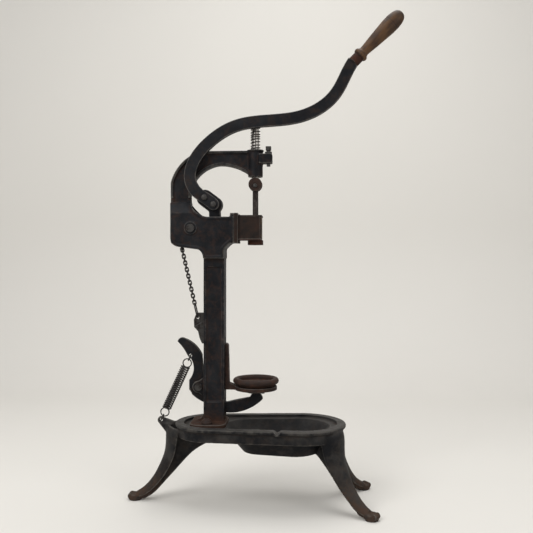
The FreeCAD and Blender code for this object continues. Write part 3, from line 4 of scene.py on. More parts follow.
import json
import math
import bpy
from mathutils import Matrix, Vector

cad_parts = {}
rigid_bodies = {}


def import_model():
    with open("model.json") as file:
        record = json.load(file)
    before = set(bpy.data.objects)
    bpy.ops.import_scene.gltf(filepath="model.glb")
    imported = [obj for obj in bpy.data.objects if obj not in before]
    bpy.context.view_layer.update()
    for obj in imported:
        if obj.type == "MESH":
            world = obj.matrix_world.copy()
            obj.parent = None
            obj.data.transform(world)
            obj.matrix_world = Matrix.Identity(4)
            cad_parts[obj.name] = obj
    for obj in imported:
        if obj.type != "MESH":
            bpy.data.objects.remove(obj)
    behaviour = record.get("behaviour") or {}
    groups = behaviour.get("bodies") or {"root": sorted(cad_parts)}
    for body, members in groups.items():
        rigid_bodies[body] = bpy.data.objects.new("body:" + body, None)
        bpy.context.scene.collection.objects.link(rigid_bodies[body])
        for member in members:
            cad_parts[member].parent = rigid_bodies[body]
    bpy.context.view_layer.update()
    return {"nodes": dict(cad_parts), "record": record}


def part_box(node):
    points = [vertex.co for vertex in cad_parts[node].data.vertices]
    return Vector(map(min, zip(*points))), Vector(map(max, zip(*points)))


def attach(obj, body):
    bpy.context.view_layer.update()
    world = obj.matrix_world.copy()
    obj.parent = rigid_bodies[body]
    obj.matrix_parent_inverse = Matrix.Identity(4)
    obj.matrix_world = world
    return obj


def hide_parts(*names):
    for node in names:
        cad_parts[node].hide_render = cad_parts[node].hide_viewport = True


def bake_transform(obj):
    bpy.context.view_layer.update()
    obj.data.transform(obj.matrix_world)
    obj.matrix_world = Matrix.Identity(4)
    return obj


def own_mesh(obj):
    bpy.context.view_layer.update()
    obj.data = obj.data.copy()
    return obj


bl_info = {
    "name": "Wine corker",
    "version": (1, 0, 0),
    "blender": (4, 5, 0),
    "location": "View3D > Sidebar > Corker",
    "description": "Dresses a standing lever corker in aged iron, wood, wire and steel",
    "category": "Object",
}

import bmesh
import bpy
import numpy as np
from bpy.props import FloatProperty, FloatVectorProperty, PointerProperty
from mathutils import Matrix, Vector

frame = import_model()
bodies = frame["record"]["behaviour"]["bodies"]
body_of = {node: body for body, nodes in bodies.items() for node in nodes}
slot_of = {part["node"]: part["material_slot"] for part in frame["record"]["subparts"]}

# Forms and places, in metres in the corker's frame unless said otherwise

# Place of each foot, and the heading of its leg
FEET = (
    (-0.278, 0.0, math.pi),
    (0.2196, 0.0949, math.radians(34.4)),
    (0.2196, -0.0949, math.radians(-34.4)),
)
# Web under a foot's instep: distance out from the foot, height
INSTEP = ((-0.006, 0.001), (-0.026, 0.006), (-0.034, 0.016), (-0.006, 0.012))
INSTEP_HALF = 0.008
# Side outline of the gusset under the spring's ear: x, z
EAR_GUSSET = (
    (-0.2255, 0.1655), (-0.2110, 0.1470), (-0.2060, 0.1160), (-0.1950, 0.1160), (-0.1950, 0.1660),
)
EAR_HALF = 0.005

# Planes that press a casting flat: a spot on the plane, its outward normal,
# and the low and high corner of the box it acts in
FLOOR = ((0.0, 0.0, 0.0), (0.0, 0.0, -1.0), (-1.0, 0.0, -0.1), (1.0, 1.0, 0.1))
HEAD_SLOPE = (
    (-0.1750, 0.0095, 0.6430), (0.0, 0.797, 0.604),
    (-0.2100, 0.0060, 0.6000), (-0.1450, 0.0400, 0.6500),
)
SPINE_EDGE = (
    (-0.1996, 0.0140, 0.5900), (-0.957, 0.287, 0.0),
    (-0.2100, 0.0100, 0.5400), (-0.1700, 0.0400, 0.6500),
)
PLANE_FADE = 0.010

# The grip: lean of its axis, half length of the ferrule that it starts in,
# its outline as radius and height in millimetres, and its turned lines
HANDLE_LEAN = math.radians(44.7)
FERRULE_HALF = 0.009
GRIP_OUTLINE = (
    (0.0, 0.2), (9.4, 0.2), (10.0, 1.0), (10.0, 17.9), (13.2, 18.0), (14.6, 19.4), (15.4, 22.4),
    (14.7, 25.4), (12.6, 27.6), (10.9, 30.4), (10.5, 34.0), (10.9, 40.0), (12.0, 50.0), (13.3, 62.0),
    (14.6, 76.0), (15.8, 90.0), (16.8, 102.0), (17.1, 111.0), (16.9, 119.0), (16.0, 127.0),
    (14.2, 134.0), (11.4, 139.4), (7.4, 142.9), (3.2, 143.8), (0.0, 143.9),
)
GROOVE_HEIGHTS = (0.1075, 0.1125)
GROOVE_HALF = 0.0007

# Clearance between the tension spring's coil and its eyes
COIL_SEAT = 0.0006

# Sweep: front edge, start of the bend, its radius and steps, top, half width
SWEEP_FRONT = -3.2
SWEEP_BACK = 1.1
SWEEP_BEND = 0.7
SWEEP_STEPS = 12
SWEEP_TOP = 3.6
SWEEP_HALF = 4.0

# Square lamps: name, place, side and the setting that holds the power
LAMPS = (
    ("Key lamp", (-1.5, -1.9, 2.1), 1.6, "key"),
    ("Top lamp", (0.2, 0.2, 2.6), 1.8, "top"),
    ("Fill lamp", (2.0, -1.5, 1.3), 1.6, "fill"),
)
LAMP_TARGET = (0.0, 0.0, 0.45)
AIR_LIGHT = 0.38

# Camera: focal length and sensor in millimetres, place, turn to the left
LENS = 45.73
SENSOR = 36.0
CAMERA_PLACE = (0.08665, -1.4466, 0.503)
CAMERA_TURN = math.asin(0.0558)


def colour(code):
    """Linear red, green and blue of an sRGB hex value."""
    parts = [int(code[i:i + 2], 16) / 255 for i in (1, 3, 5)]
    return tuple(p / 12.92 if p <= 0.04045 else ((p + 0.055) / 1.055) ** 2.4 for p in parts)


def swatch(name, description, code):
    return FloatVectorProperty(name=name, description=description, subtype="COLOR", size=3,
                               min=0.0, max=1.0, default=colour(code))


def length(name, description, default, low=0.0, high=1.0):
    return FloatProperty(name=name, description=description, default=default, min=low, max=high,
                         unit="LENGTH", subtype="DISTANCE", precision=5)


def power(name, description, default):
    return FloatProperty(name=name, description=description, default=default, min=0.0, unit="POWER")


# Sizes and colours

class CastingSettings(bpy.types.PropertyGroup):
    """Skin of the sand-cast stand and column."""
    skin: swatch("Blacking", "Oiled black skin of the castings", "#0b0c10")
    # the grey bloom also serves as a painted highlight on up-facing surfaces
    bloom_and_top_light: swatch("Grey bloom", "Dry, greyed blacking", "#1d1e21")
    worn: swatch("Worn edge", "Iron showing through on edges", "#5b5853")
    rust: swatch("Rust", "Brown rust on feet, bowl and seams", "#3d2a21")
    red_rust: swatch("Red rust", "Redder rust deep in hollows", "#4a2415")
    cell: length("Skin cell", "Cell of the mesh that rounds the cast edges", 0.0015, 0.0004, 0.01)
    swell: length("Unevenness", "How far the cast skin wanders", 0.0005, 0.0, 0.003)
    grain: length("Sand grain", "Grain left by the sand mould", 0.0022, 0.0003, 0.01)


class ForgingSettings(bpy.types.PropertyGroup):
    """Skin of the forged lever, rocker and small iron pieces."""
    skin: swatch("Scale", "Dark forge scale", "#0d0e12")
    worn: swatch("Rubbed", "Iron rubbed by hands", "#5f5c58")
    rust: swatch("Rust", "Thin brown rust", "#3a2a20")
    cell: length("Skin cell", "Cell of the mesh that rounds forged edges", 0.0009, 0.0003, 0.01)
    swell: length("Hammer marks", "How far the forged face wanders", 0.0003, 0.0, 0.003)


class WoodSettings(bpy.types.PropertyGroup):
    """Turned grip."""
    light: swatch("Early wood", "Lighter part of the grain", "#54391f")
    dark: swatch("Late wood", "Darker part of the grain", "#2f1d10")
    grime: swatch("Grime", "Hand grime near the end", "#150e0a")
    ring_width: length("Ring width", "Width of a growth ring", 0.0023, 0.0003, 0.02)
    groove: length("Groove", "Depth of the two turned lines", 0.0006, 0.0, 0.002)


class WireSettings(bpy.types.PropertyGroup):
    """Springs."""
    return_wire: length("Return wire", "Wire of the return spring", 0.0020, 0.0005, 0.005)
    return_turns: FloatProperty(name="Return turns", description="Turns of the return spring", default=9.5,
                                min=2.0, max=20.0)
    coil_wire: length("Tension wire", "Wire of the tension spring", 0.0030, 0.0005, 0.005)
    coil_turns: FloatProperty(name="Tension turns", description="Turns of the tension spring", default=22.0,
                              min=5.0, max=40.0)


class StageSettings(bpy.types.PropertyGroup):
    """Floor, lamps and camera."""
    floor: swatch("Sweep", "Colour of the pale floor and backdrop", "#d8d5cf")
    key: power("Key", "Power of the lamp on the left", 46.0)
    top: power("Top", "Power of the lamp above", 34.0)
    fill: power("Fill", "Power of the lamp on the right", 16.0)


def settings(name):
    return getattr(bpy.context.scene, "corker_" + name)


# Nodes

def add(tree, kind, values=None, links=None):
    """Adds a node, sets its properties or sockets, and links its inputs."""
    node = tree.nodes.new(kind)
    for key, value in (values or {}).items():
        if isinstance(key, int) or key in node.inputs:
            node.inputs[key].default_value = value
        else:
            setattr(node, key, value)
    for key, socket in (links or {}).items():
        tree.links.new(socket, node.inputs[key])
    return node


def place_of(tree):
    """The spot on the piece, in metres."""
    return add(tree, "ShaderNodeTexCoord").outputs["Object"]


def edge_of(tree):
    """How far the surface stands out: above 0 on edges, below in hollows."""
    return add(tree, "ShaderNodeAttribute", {"attribute_name": "edge"}).outputs["Fac"]


def upward(tree, vector):
    return add(tree, "ShaderNodeSeparateXYZ", links={"Vector": vector}).outputs["Z"]


def stretched(tree, place, scale, turn=(0.0, 0.0, 0.0)):
    return add(tree, "ShaderNodeMapping", {"Scale": scale, "Rotation": turn}, {"Vector": place}).outputs[0]


def noise(tree, place, size, detail, roughness=0.5, distortion=0.0):
    """Clouds in lumps of a size in metres."""
    values = {"Scale": 1 / size, "Detail": detail, "Roughness": roughness, "Distortion": distortion}
    return add(tree, "ShaderNodeTexNoise", values, {"Vector": place}).outputs[0]


def remap(tree, value, low, high, to_low=0.0, to_high=1.0, shape="LINEAR"):
    """Maps low to to_low and high to to_high, and holds beyond them."""
    values = {"interpolation_type": shape, "From Min": low, "From Max": high,
              "To Min": to_low, "To Max": to_high}
    return add(tree, "ShaderNodeMapRange", values, {"Value": value}).outputs[0]


def total(tree, value, *others):
    for other in others:
        value = add(tree, "ShaderNodeMath", {"operation": "ADD"}, {0: value, 1: other}).outputs[0]
    return value


def scaled_onto(tree, value, factor, base, clamp=False):
    """The value times a factor, added to a base."""
    values = {"operation": "MULTIPLY_ADD", "use_clamp": clamp, 1: factor}
    return add(tree, "ShaderNodeMath", values, {0: value, 2: base}).outputs[0]


def laid_over(tree, share, under, over):
    """One colour laid over another by a share. Either may be a socket."""
    node = add(tree, "ShaderNodeMix", {"data_type": "RGBA"}, {0: share})
    for socket, value in ((node.inputs[6], under), (node.inputs[7], over)):
        if isinstance(value, bpy.types.NodeSocket):
            tree.links.new(value, socket)
        else:
            socket.default_value = tuple(value) + (1.0,)
    return node.outputs[2]


def new_material(name):
    material = bpy.data.materials.new(name)
    material.use_nodes = True
    material.node_tree.nodes.clear()
    return material, material.node_tree


def finish_material(tree, shine, colours, rough, relief, strength, depth):
    """Gives colour, roughness and relief to a shader and the output."""
    bump = add(tree, "ShaderNodeBump", {"Strength": strength, "Distance": depth}, {"Height": relief})
    shader = add(tree, "ShaderNodeBsdfPrincipled", shine,
                 {"Base Color": colours, "Roughness": rough, "Normal": bump.outputs[0]})
    add(tree, "ShaderNodeOutputMaterial", links={"Surface": shader.outputs[0]})


# Materials

def aged_iron(name, skin, bloom_and_top_light, worn, rust, deep_rust, rust_share, grain,
              low_rust=0.0, low_top=0.105, low_end=0.015, bare=0.0):
    """Iron under old black. The skin reads as a soft blue-black that greys
    in broad clouds of dust, with a painted highlight lightening what faces
    up. A brown haze warms it in clouds, redder rust sits in the hollows and
    low down, and the edges catch the light as bare metal."""
    material, tree = new_material(name)
    place = place_of(tree)
    edge = edge_of(tree)
    facing_up = upward(tree, add(tree, "ShaderNodeNewGeometry").outputs["Normal"])
    broad = noise(tree, place, 0.055, 5.0, 0.62)
    patch = noise(tree, place, 0.016, 8.0, 0.68, 0.4)
    sand = noise(tree, place, grain, 3.0, 0.6)

    # greyed blacking in broad clouds of dust, and a painted highlight on what faces up
    bloomed = remap(tree, broad, 0.42, 0.68)
    dust_and_top_light = scaled_onto(tree, facing_up, 0.75, bloomed, clamp=True)
    ground = laid_over(tree, dust_and_top_light, skin, bloom_and_top_light)

    # rust starts in patches, hollows and low down: a haze, then deeper spots
    hollow = remap(tree, edge, -0.1, -0.8, 0.0, 0.16)
    low = remap(tree, upward(tree, place), low_top, low_end, 0.0, low_rust)
    seed = total(tree, patch, hollow, low)
    haze = remap(tree, seed, 0.50 - rust_share, 0.86 - rust_share, 0.0, 0.8)
    hazed = laid_over(tree, haze, ground, rust)
    deep = remap(tree, seed, 0.74 - rust_share, 0.98 - rust_share, shape="SMOOTHSTEP")
    rusted = laid_over(tree, deep, hazed, deep_rust)

    # edges are rubbed down to metal, in patches
    rub = scaled_onto(tree, edge, 0.9, patch)
    rubbed = remap(tree, rub, 0.86 - bare, 1.35 - bare, 0.0, 0.8)
    colours = laid_over(tree, rubbed, rusted, worn)

    rough = remap(tree, haze, 0.0, 1.0, 0.46, 0.86)
    rough = scaled_onto(tree, sand, 0.12, rough)
    relief = scaled_onto(tree, patch, 0.6, sand)
    # a dry, dusty skin gives back less light than a clean one
    shine = {"Metallic": 0.0, "Specular IOR Level": 0.15}
    finish_material(tree, shine, colours, rough, relief, 0.55, 0.0007)
    return material


def turned_metal(name, bright, tarnish, share, rough_low, rough_high, line, metallic=1.0):
    """Metal turned or rubbed bright: fine rings round the axis, thin stains."""
    material, tree = new_material(name)
    place = place_of(tree)
    turning = noise(tree, stretched(tree, place, (0.15, 0.15, 1.0)), line, 2.0)
    stain = noise(tree, place, 0.011, 7.0, 0.65)
    seed = scaled_onto(tree, edge_of(tree), -0.25, stain)
    stained = remap(tree, seed, 0.72 - share, 0.90 - share)
    colours = laid_over(tree, stained, bright, tarnish)
    rough = remap(tree, stained, 0.0, 1.0, rough_low, rough_high)
    relief = scaled_onto(tree, turning, 0.5, stain)
    finish_material(tree, {"Metallic": metallic}, colours, rough, relief, 0.3, 0.0003)
    return material


def grip_start():
    """Where the grip's axis starts, at the ferrule's lower end."""
    low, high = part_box("handle_ferrule")
    axis = Vector((math.sin(HANDLE_LEAN), 0.0, math.cos(HANDLE_LEAN)))
    return (low + high) / 2 - axis * FERRULE_HALF


def turned_beech(name, wood):
    """Beech turned along the grain and darkened by oil and hands: long
    growth lines, short flecks, grime in the grooves and at the end."""
    material, tree = new_material(name)
    grip_axis = {"vector_type": "TEXTURE", "Location": grip_start(), "Rotation": (0.0, HANDLE_LEAN, 0.0)}
    place = add(tree, "ShaderNodeMapping", grip_axis, {"Vector": place_of(tree)}).outputs[0]

    # growth lines, drawn twice as wide as real ones so that they still read
    # from a step away
    along = stretched(tree, place, (1.0, 1.0, 0.06), (0.05, 0.04, 0.0))
    growth = {"wave_type": "RINGS", "rings_direction": "Z", "Scale": 0.16 / wood.ring_width,
              "Distortion": 5.0, "Detail": 4.0, "Detail Scale": 1.5}
    rings = add(tree, "ShaderNodeTexWave", growth, {"Vector": along}).outputs["Fac"]
    flecks = noise(tree, stretched(tree, place, (1.0, 1.0, 0.10)), 0.0011, 4.0, 0.7)
    grain = scaled_onto(tree, rings, 0.55, flecks)
    body = laid_over(tree, remap(tree, grain, 0.35, 1.15), wood.dark, wood.light)

    # grime lies where hands hold the end, and in the grooves
    hands = noise(tree, place, 0.02, 6.0)
    end = remap(tree, upward(tree, place), 0.085, 0.150, 0.0, 0.62)
    dirt = scaled_onto(tree, edge_of(tree), -0.8, end)
    dirt = scaled_onto(tree, hands, 1.4, dirt)
    colours = laid_over(tree, remap(tree, dirt, 0.72, 1.5), body, wood.grime)

    rough = remap(tree, flecks, 0.0, 1.0, 0.44, 0.66)
    finish_material(tree, {"Specular IOR Level": 0.3}, colours, rough, grain, 0.35, 0.0004)
    return material


materials = {}


def finish(slot):
    """The material of a slot, made once."""
    if slot not in materials:
        materials[slot] = new_finish(slot)
    return materials[slot]


def new_finish(slot):
    casting = settings("casting")
    forging = settings("forging")
    if slot == "black_cast_iron":
        # near black with a cool cast, brown on the foot flange and in seams
        return aged_iron("Sand-cast iron, blacked", casting.skin, casting.bloom_and_top_light, casting.worn,
                         casting.rust, casting.rust, rust_share=0.03, grain=casting.grain,
                         low_rust=0.34, low_top=0.200, low_end=0.178)
    if slot == "stand_iron":
        # the same black, turning earthy brown towards the feet
        # its paler grey bloom is also painted on up-facing surfaces as a highlight
        return aged_iron("Sand-cast iron, blacked, rusted low", casting.skin, colour("#383634"),
                         casting.worn, colour("#3b332d"), colour("#413229"),
                         rust_share=0.03, grain=casting.grain, low_rust=0.34)
    if slot == "lever_iron":
        # smoother and a little shinier where hands and chain rub it
        return aged_iron("Forged iron, hand-worn", forging.skin, casting.bloom_and_top_light, forging.worn,
                         forging.rust, casting.red_rust, rust_share=0.02, grain=0.0030, bare=0.05)
    if slot == "rusted_iron":
        # dull earth brown all over, with dark scale left in patches
        return aged_iron("Wrought iron, rusted brown", colour("#1c1614"), colour("#2c2320"), forging.worn,
                         colour("#443027"), colour("#55301f"), rust_share=0.16, grain=0.0016)
    if slot == "red_iron":
        # the warm red-brown of an iron band that hands keep dry
        return aged_iron("Wrought iron, rusted red", colour("#20130f"), colour("#2c1b15"), forging.worn,
                         colour("#42261b"), colour("#502b1c"), rust_share=0.2, grain=0.0014)
    if slot == "jaw_iron":
        # oily brown-black, browner where the plates meet
        return aged_iron("Machined cast iron, tarnished", colour("#171210"), colour("#261d19"),
                         forging.worn, colour("#36251d"), colour("#48291b"), rust_share=0.12, grain=0.0018)
    if slot == "turned_wood":
        # long dark lines and short flecks in a warm, dulled brown
        return turned_beech("Turned beech, oiled and hand-darkened", settings("wood"))
    if slot == "bright_steel":
        # the one bright piece: a streak of light down the rod
        return turned_metal("Turned steel, rubbed bright", colour("#a9a59f"), colour("#5c4c40"),
                            share=0.12, rough_low=0.30, rough_high=0.55, line=0.0012)
    if slot == "ram_steel":
        # the same turning under a brown film, hardly shining
        return turned_metal("Turned steel, browned", colour("#3a322d"), colour("#1f1613"),
                            share=0.30, rough_low=0.45, rough_high=0.75, line=0.0012, metallic=0.5)
    if slot == "dark_steel":
        # dark heads and nuts with a dull gleam on their corners
        return turned_metal("Machined steel, darkened", colour("#3a3836"), colour("#1f1814"),
                            share=0.26, rough_low=0.42, rough_high=0.75, line=0.0016, metallic=0.5)
    if slot == "spring_wire":
        # dark wire that still shows a thin line of light on each turn
        return turned_metal("Drawn steel wire, darkened", colour("#34312f"), colour("#1f1713"),
                            share=0.22, rough_low=0.40, rough_high=0.70, line=0.0020, metallic=0.5)
    # bronze: a dull golden brown deep in the jaws and the bush
    return turned_metal("Cast bronze, tarnished", colour("#5c4526"), colour("#281a11"),
                        share=0.34, rough_low=0.45, rough_high=0.7, line=0.0016, metallic=0.7)


# Meshes

def put(name, data):
    """A new object in the scene."""
    piece = bpy.data.objects.new(name, data)
    bpy.context.scene.collection.objects.link(piece)
    return piece


def evaluated_mesh(piece):
    """A mesh of a piece with its modifiers applied."""
    bpy.context.view_layer.update()
    graph = bpy.context.evaluated_depsgraph_get()
    return bpy.data.meshes.new_from_object(piece.evaluated_get(graph))


def settle(piece, name):
    """Applies the modifiers of a piece and gives it a clean new mesh."""
    mesh = evaluated_mesh(piece)
    mesh.name = name
    piece.modifiers.clear()
    old = piece.data
    piece.data = mesh
    bpy.data.meshes.remove(old)


def shade_smooth(mesh):
    for face in mesh.polygons:
        face.use_smooth = True


def spots_of(mesh):
    """The vertices of a mesh as rows of x, y, z."""
    spots = np.empty(len(mesh.vertices) * 3)
    mesh.vertices.foreach_get("co", spots)
    return spots.reshape(-1, 3)


def mark_edges(mesh, reach, rounds=10):
    """Writes how far each vertex stands out of its neighbourhood: above 0 on
    outer edges, below 0 in hollows."""
    spots = spots_of(mesh)
    count = len(spots)
    pairs = np.empty(len(mesh.edges) * 2, dtype=np.int64)
    mesh.edges.foreach_get("vertices", pairs)
    left, right = pairs.reshape(-1, 2).T
    degree = np.maximum(np.bincount(pairs, minlength=count), 1)
    calm = spots.copy()
    for _ in range(rounds):
        sums = [np.bincount(left, calm[right, axis], count) + np.bincount(right, calm[left, axis], count)
                for axis in range(3)]
        calm = 0.5 * calm + 0.5 * np.stack(sums, 1) / degree[:, None]
    normals = np.empty(count * 3)
    mesh.vertex_normals.foreach_get("vector", normals)
    out = ((spots - calm) * normals.reshape(-1, 3)).sum(1) / reach
    mark = mesh.attributes.new("edge", "FLOAT", "POINT")
    mark.data.foreach_set("value", np.clip(out, -1.0, 1.0).astype(np.float32))


def prism(work, corners, along):
    """Adds a closed prism to a mesh in work: its end face and its length."""
    near = [work.verts.new(corner) for corner in corners]
    far = [work.verts.new(Vector(corner) + Vector(along)) for corner in corners]
    faces = [work.faces.new(near), work.faces.new(list(reversed(far)))]
    for k in range(len(near)):
        n = (k + 1) % len(near)
        faces.append(work.faces.new((near[k], far[k], far[n], near[n])))
    bmesh.ops.recalc_face_normals(work, faces=faces)


def press_flat(mesh, planes):
    """Presses a mesh down to planes, alike on its front and its back, with y
    counted out from the middle. Each fades out towards its box's high x."""
    spots = spots_of(mesh)
    face = np.where(spots[:, 1] < 0, -1.0, 1.0)
    spots[:, 1] *= face
    for spot, normal, low, high in planes:
        normal = np.array(Vector(normal).normalized())
        inside = np.all((spots >= low) & (spots <= high), axis=1)
        proud = np.clip((spots - spot) @ normal, 0.0, None) * inside
        proud *= np.clip((high[0] - spots[:, 0]) / PLANE_FADE, 0.0, 1.0)
        spots -= proud[:, None] * normal
    spots[:, 1] *= face
    mesh.vertices.foreach_set("co", spots.ravel())
    mesh.update()


def aged_copy(node, cell, swell, relax=4, slot=None, lumps=(), planes=()):
    """A piece in the place of a CAD node, with worn edges and an uneven
    skin in place of sharp machine edges. Lumps are melted into it before the
    skin is made, and planes press it flat after."""
    mesh = frame["nodes"][node].data.copy()
    work = bmesh.new()
    work.from_mesh(mesh)
    bmesh.ops.remove_doubles(work, verts=work.verts, dist=2e-6)
    for corners, along in lumps:
        prism(work, corners, along)
    work.to_mesh(mesh)
    work.free()
    piece = put(node + "_dressed", mesh)
    skin = piece.modifiers.new("Skin", "REMESH")
    skin.mode = "VOXEL"
    skin.voxel_size = cell
    skin.use_smooth_shade = True
    calm = piece.modifiers.new("Worn edges", "SMOOTH")
    calm.factor = 0.5
    calm.iterations = relax
    if swell > 0:
        for name, size, share in (("Broad", 0.035, 1.0), ("Fine", 0.006, 0.4)):
            clouds = bpy.data.textures.new(node + name, "CLOUDS")
            clouds.noise_scale = size
            clouds.noise_depth = 2
            wander = piece.modifiers.new(name, "DISPLACE")
            wander.texture = clouds
            wander.texture_coords = "LOCAL"
            wander.strength = swell * share
            # above the middle, so that the skin wanders in more than out
            wander.mid_level = 0.62
    settle(piece, node + "_dressed")
    if planes:
        press_flat(piece.data, planes)
    mark_edges(piece.data, cell * 0.55)
    dress(piece, node, slot)


def dress(piece, node, slot=None):
    """Gives a piece the material of its slot and its node's body, and hides the node that it stands for."""
    piece.data.materials.clear()
    piece.data.materials.append(finish(slot or slot_of[node]))
    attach(piece, body_of[node])
    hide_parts(node)


def polish(node, slot=None):
    """Gives a CAD node that stays its procedural material."""
    for place in frame["nodes"][node].material_slots:
        place.link = "OBJECT"
        place.material = finish(slot or slot_of[node])


def smooth_rows(outline, parts=6):
    """Radius and height in metres along a smooth line through an outline
    in millimetres."""
    rows = []
    for k in range(len(outline) - 1):
        before = outline[max(k - 1, 0)]
        here, ahead = outline[k], outline[k + 1]
        beyond = outline[min(k + 2, len(outline) - 1)]
        for part in range(parts):
            t = part / parts
            row = []
            for c in range(2):
                slope_here = (ahead[c] - before[c]) / 2
                slope_ahead = (beyond[c] - here[c]) / 2
                row.append((2 * t ** 3 - 3 * t ** 2 + 1) * here[c]
                           + (t ** 3 - 2 * t ** 2 + t) * slope_here
                           + (3 * t ** 2 - 2 * t ** 3) * ahead[c]
                           + (t ** 3 - t ** 2) * slope_ahead)
            rows.append([max(row[0], 0.0) / 1000, row[1] / 1000])
    rows.append([0.0, outline[-1][1] / 1000])
    return rows


def lathe(name, rows, around=72):
    """A closed turned mesh from rows of radius and height."""
    work = bmesh.new()
    rings = []
    for radius, tall in rows:
        if radius < 1e-5:
            rings.append([work.verts.new((0, 0, tall))])
            continue
        angles = [2 * math.pi * k / around for k in range(around)]
        rings.append([work.verts.new((radius * math.cos(angle), radius * math.sin(angle), tall))
                      for angle in angles])
    for lower, upper in zip(rings[:-1], rings[1:]):
        for k in range(around):
            n = (k + 1) % around
            corners = [lower[k % len(lower)], lower[n % len(lower)],
                       upper[n % len(upper)], upper[k % len(upper)]]
            unique = list(dict.fromkeys(corners))
            if len(unique) > 2:
                work.faces.new(unique)
    bmesh.ops.recalc_face_normals(work, faces=work.faces)
    mesh = bpy.data.meshes.new(name)
    work.to_mesh(mesh)
    work.free()
    shade_smooth(mesh)
    return mesh


def wire_piece(node, spots, radius):
    """A round wire along a smooth line, in the place of a spring."""
    name = node + "_dressed"
    line = bpy.data.curves.new(name, "CURVE")
    line.dimensions = "3D"
    line.bevel_depth = radius
    line.bevel_resolution = 5
    line.use_fill_caps = True
    line.resolution_u = 3
    spline = line.splines.new("NURBS")
    spline.points.add(len(spots) - 1)
    for point, spot in zip(spline.points, spots):
        point.co = (*spot, 1.0)
    spline.order_u = 4
    spline.use_endpoint_u = True
    source = put(name, line)
    mesh = evaluated_mesh(source)
    bpy.data.objects.remove(source)
    bpy.data.curves.remove(line)
    shade_smooth(mesh)
    piece = put(name, mesh)
    mesh.materials.append(finish("spring_wire"))
    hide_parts(node)
    return piece


def helix(base, along, radius, long, turns, closed=0.0, per_turn=18):
    """Points of a coil from its base; the end turns lie closer together."""
    along = Vector(along).normalized()
    side = along.orthogonal().normalized()
    other = along.cross(side)
    steps = int(turns * per_turn)
    spots = []
    for k in range(steps + 1):
        share = k / steps
        rise = share - closed * math.sin(4.0 * math.pi * share) / (4.0 * math.pi)
        angle = 2.0 * math.pi * turns * share
        spots.append(Vector(base) + along * (long * rise) + side * (radius * math.cos(angle))
                     + other * (radius * math.sin(angle)))
    return spots


# Pieces

class CORKER_OT_stand(bpy.types.Operator):
    """The cast stand with its rim, bowl, ear and legs"""
    bl_idname = "corker.stand"
    bl_label = "Stand"

    def execute(self, context):
        casting = settings("casting")
        lumps = []
        for x, y, heading in FEET:
            out = Vector((math.cos(heading), math.sin(heading), 0.0))
            side = Vector((-out.y, out.x, 0.0)) * INSTEP_HALF
            foot = Vector((x, y, 0.0)) - side
            web = [foot + out * reach + Vector((0.0, 0.0, tall)) for reach, tall in INSTEP]
            lumps.append((web, side * 2))
        gusset = [(x, -EAR_HALF, z) for x, z in EAR_GUSSET]
        lumps.append((gusset, (0.0, 2 * EAR_HALF, 0.0)))
        aged_copy("base_casting", casting.cell, casting.swell, relax=5, slot="stand_iron",
                  lumps=lumps, planes=(FLOOR,))
        return {"FINISHED"}


class CORKER_OT_column(bpy.types.Operator):
    """The cast column with its C-shaped head"""
    bl_idname = "corker.column"
    bl_label = "Column and head"

    def execute(self, context):
        # finer and calmer than the stand: the head's thick body slopes up
        # into its web, and its back edges are taken off along the spine
        casting = settings("casting")
        aged_copy("column_casting", casting.cell * 0.87, casting.swell * 0.8, relax=4,
                  planes=(HEAD_SLOPE, SPINE_EDGE))
        return {"FINISHED"}


class CORKER_OT_lever(bpy.types.Operator):
    """The forged lever bar and its rocker"""
    bl_idname = "corker.lever"
    bl_label = "Lever and rocker"

    def execute(self, context):
        forging = settings("forging")
        aged_copy("lever_bar", forging.cell, forging.swell, relax=5)
        aged_copy("rocker", forging.cell, forging.swell, relax=4)
        return {"FINISHED"}


class CORKER_OT_handle(bpy.types.Operator):
    """The turned grip and its iron ferrule"""
    bl_idname = "corker.handle"
    bl_label = "Handle"

    def execute(self, context):
        groove = settings("wood").groove
        rows = smooth_rows(GRIP_OUTLINE)
        for row in rows:
            for height in GROOVE_HEIGHTS:
                if row[0] > 0.01:
                    row[0] -= groove * math.exp(-((row[1] - height) / GROOVE_HALF) ** 2)
        mesh = lathe("handle_grip_dressed", rows)
        piece = put("handle_grip_dressed", mesh)
        mark_edges(mesh, 0.0006)
        mesh.transform(Matrix.Translation(grip_start()) @ Matrix.Rotation(HANDLE_LEAN, 4, "Y"))
        dress(piece, "handle_grip")
        aged_copy("handle_ferrule", cell=0.0005, swell=0.0002, relax=3, slot="red_iron")
        return {"FINISHED"}


class CORKER_OT_plunger(bpy.types.Operator):
    """The bright plunger with its cap and clamping knuckle"""
    bl_idname = "corker.plunger"
    bl_label = "Plunger"

    def execute(self, context):
        polish("plunger_rod")
        polish("lower_plunger", "ram_steel")
        polish("guide_bush")
        aged_copy("rod_cap", cell=0.0004, swell=0.0, relax=2, slot="dark_steel")
        aged_copy("clamp_knuckle", cell=0.0006, swell=0.0002, relax=5, slot="rusted_iron")
        return {"FINISHED"}


class CORKER_OT_jaws(bpy.types.Operator):
    """The jaw housing, its plates, jaws and mouth collar"""
    bl_idname = "corker.jaws"
    bl_label = "Jaws"

    def execute(self, context):
        aged_copy("jaw_housing", cell=0.0007, swell=0.0002, relax=3)
        aged_copy("jaw_cover", cell=0.0006, swell=0.0001, relax=2)
        aged_copy("bottom_plate", cell=0.0006, swell=0.0002, relax=2, slot="red_iron")
        aged_copy("mouth_collar", cell=0.0005, swell=0.0001, relax=2, slot="red_iron")
        for node in ("fixed_jaw", "moving_jaw", "jaw_slide"):
            polish(node)
        return {"FINISHED"}


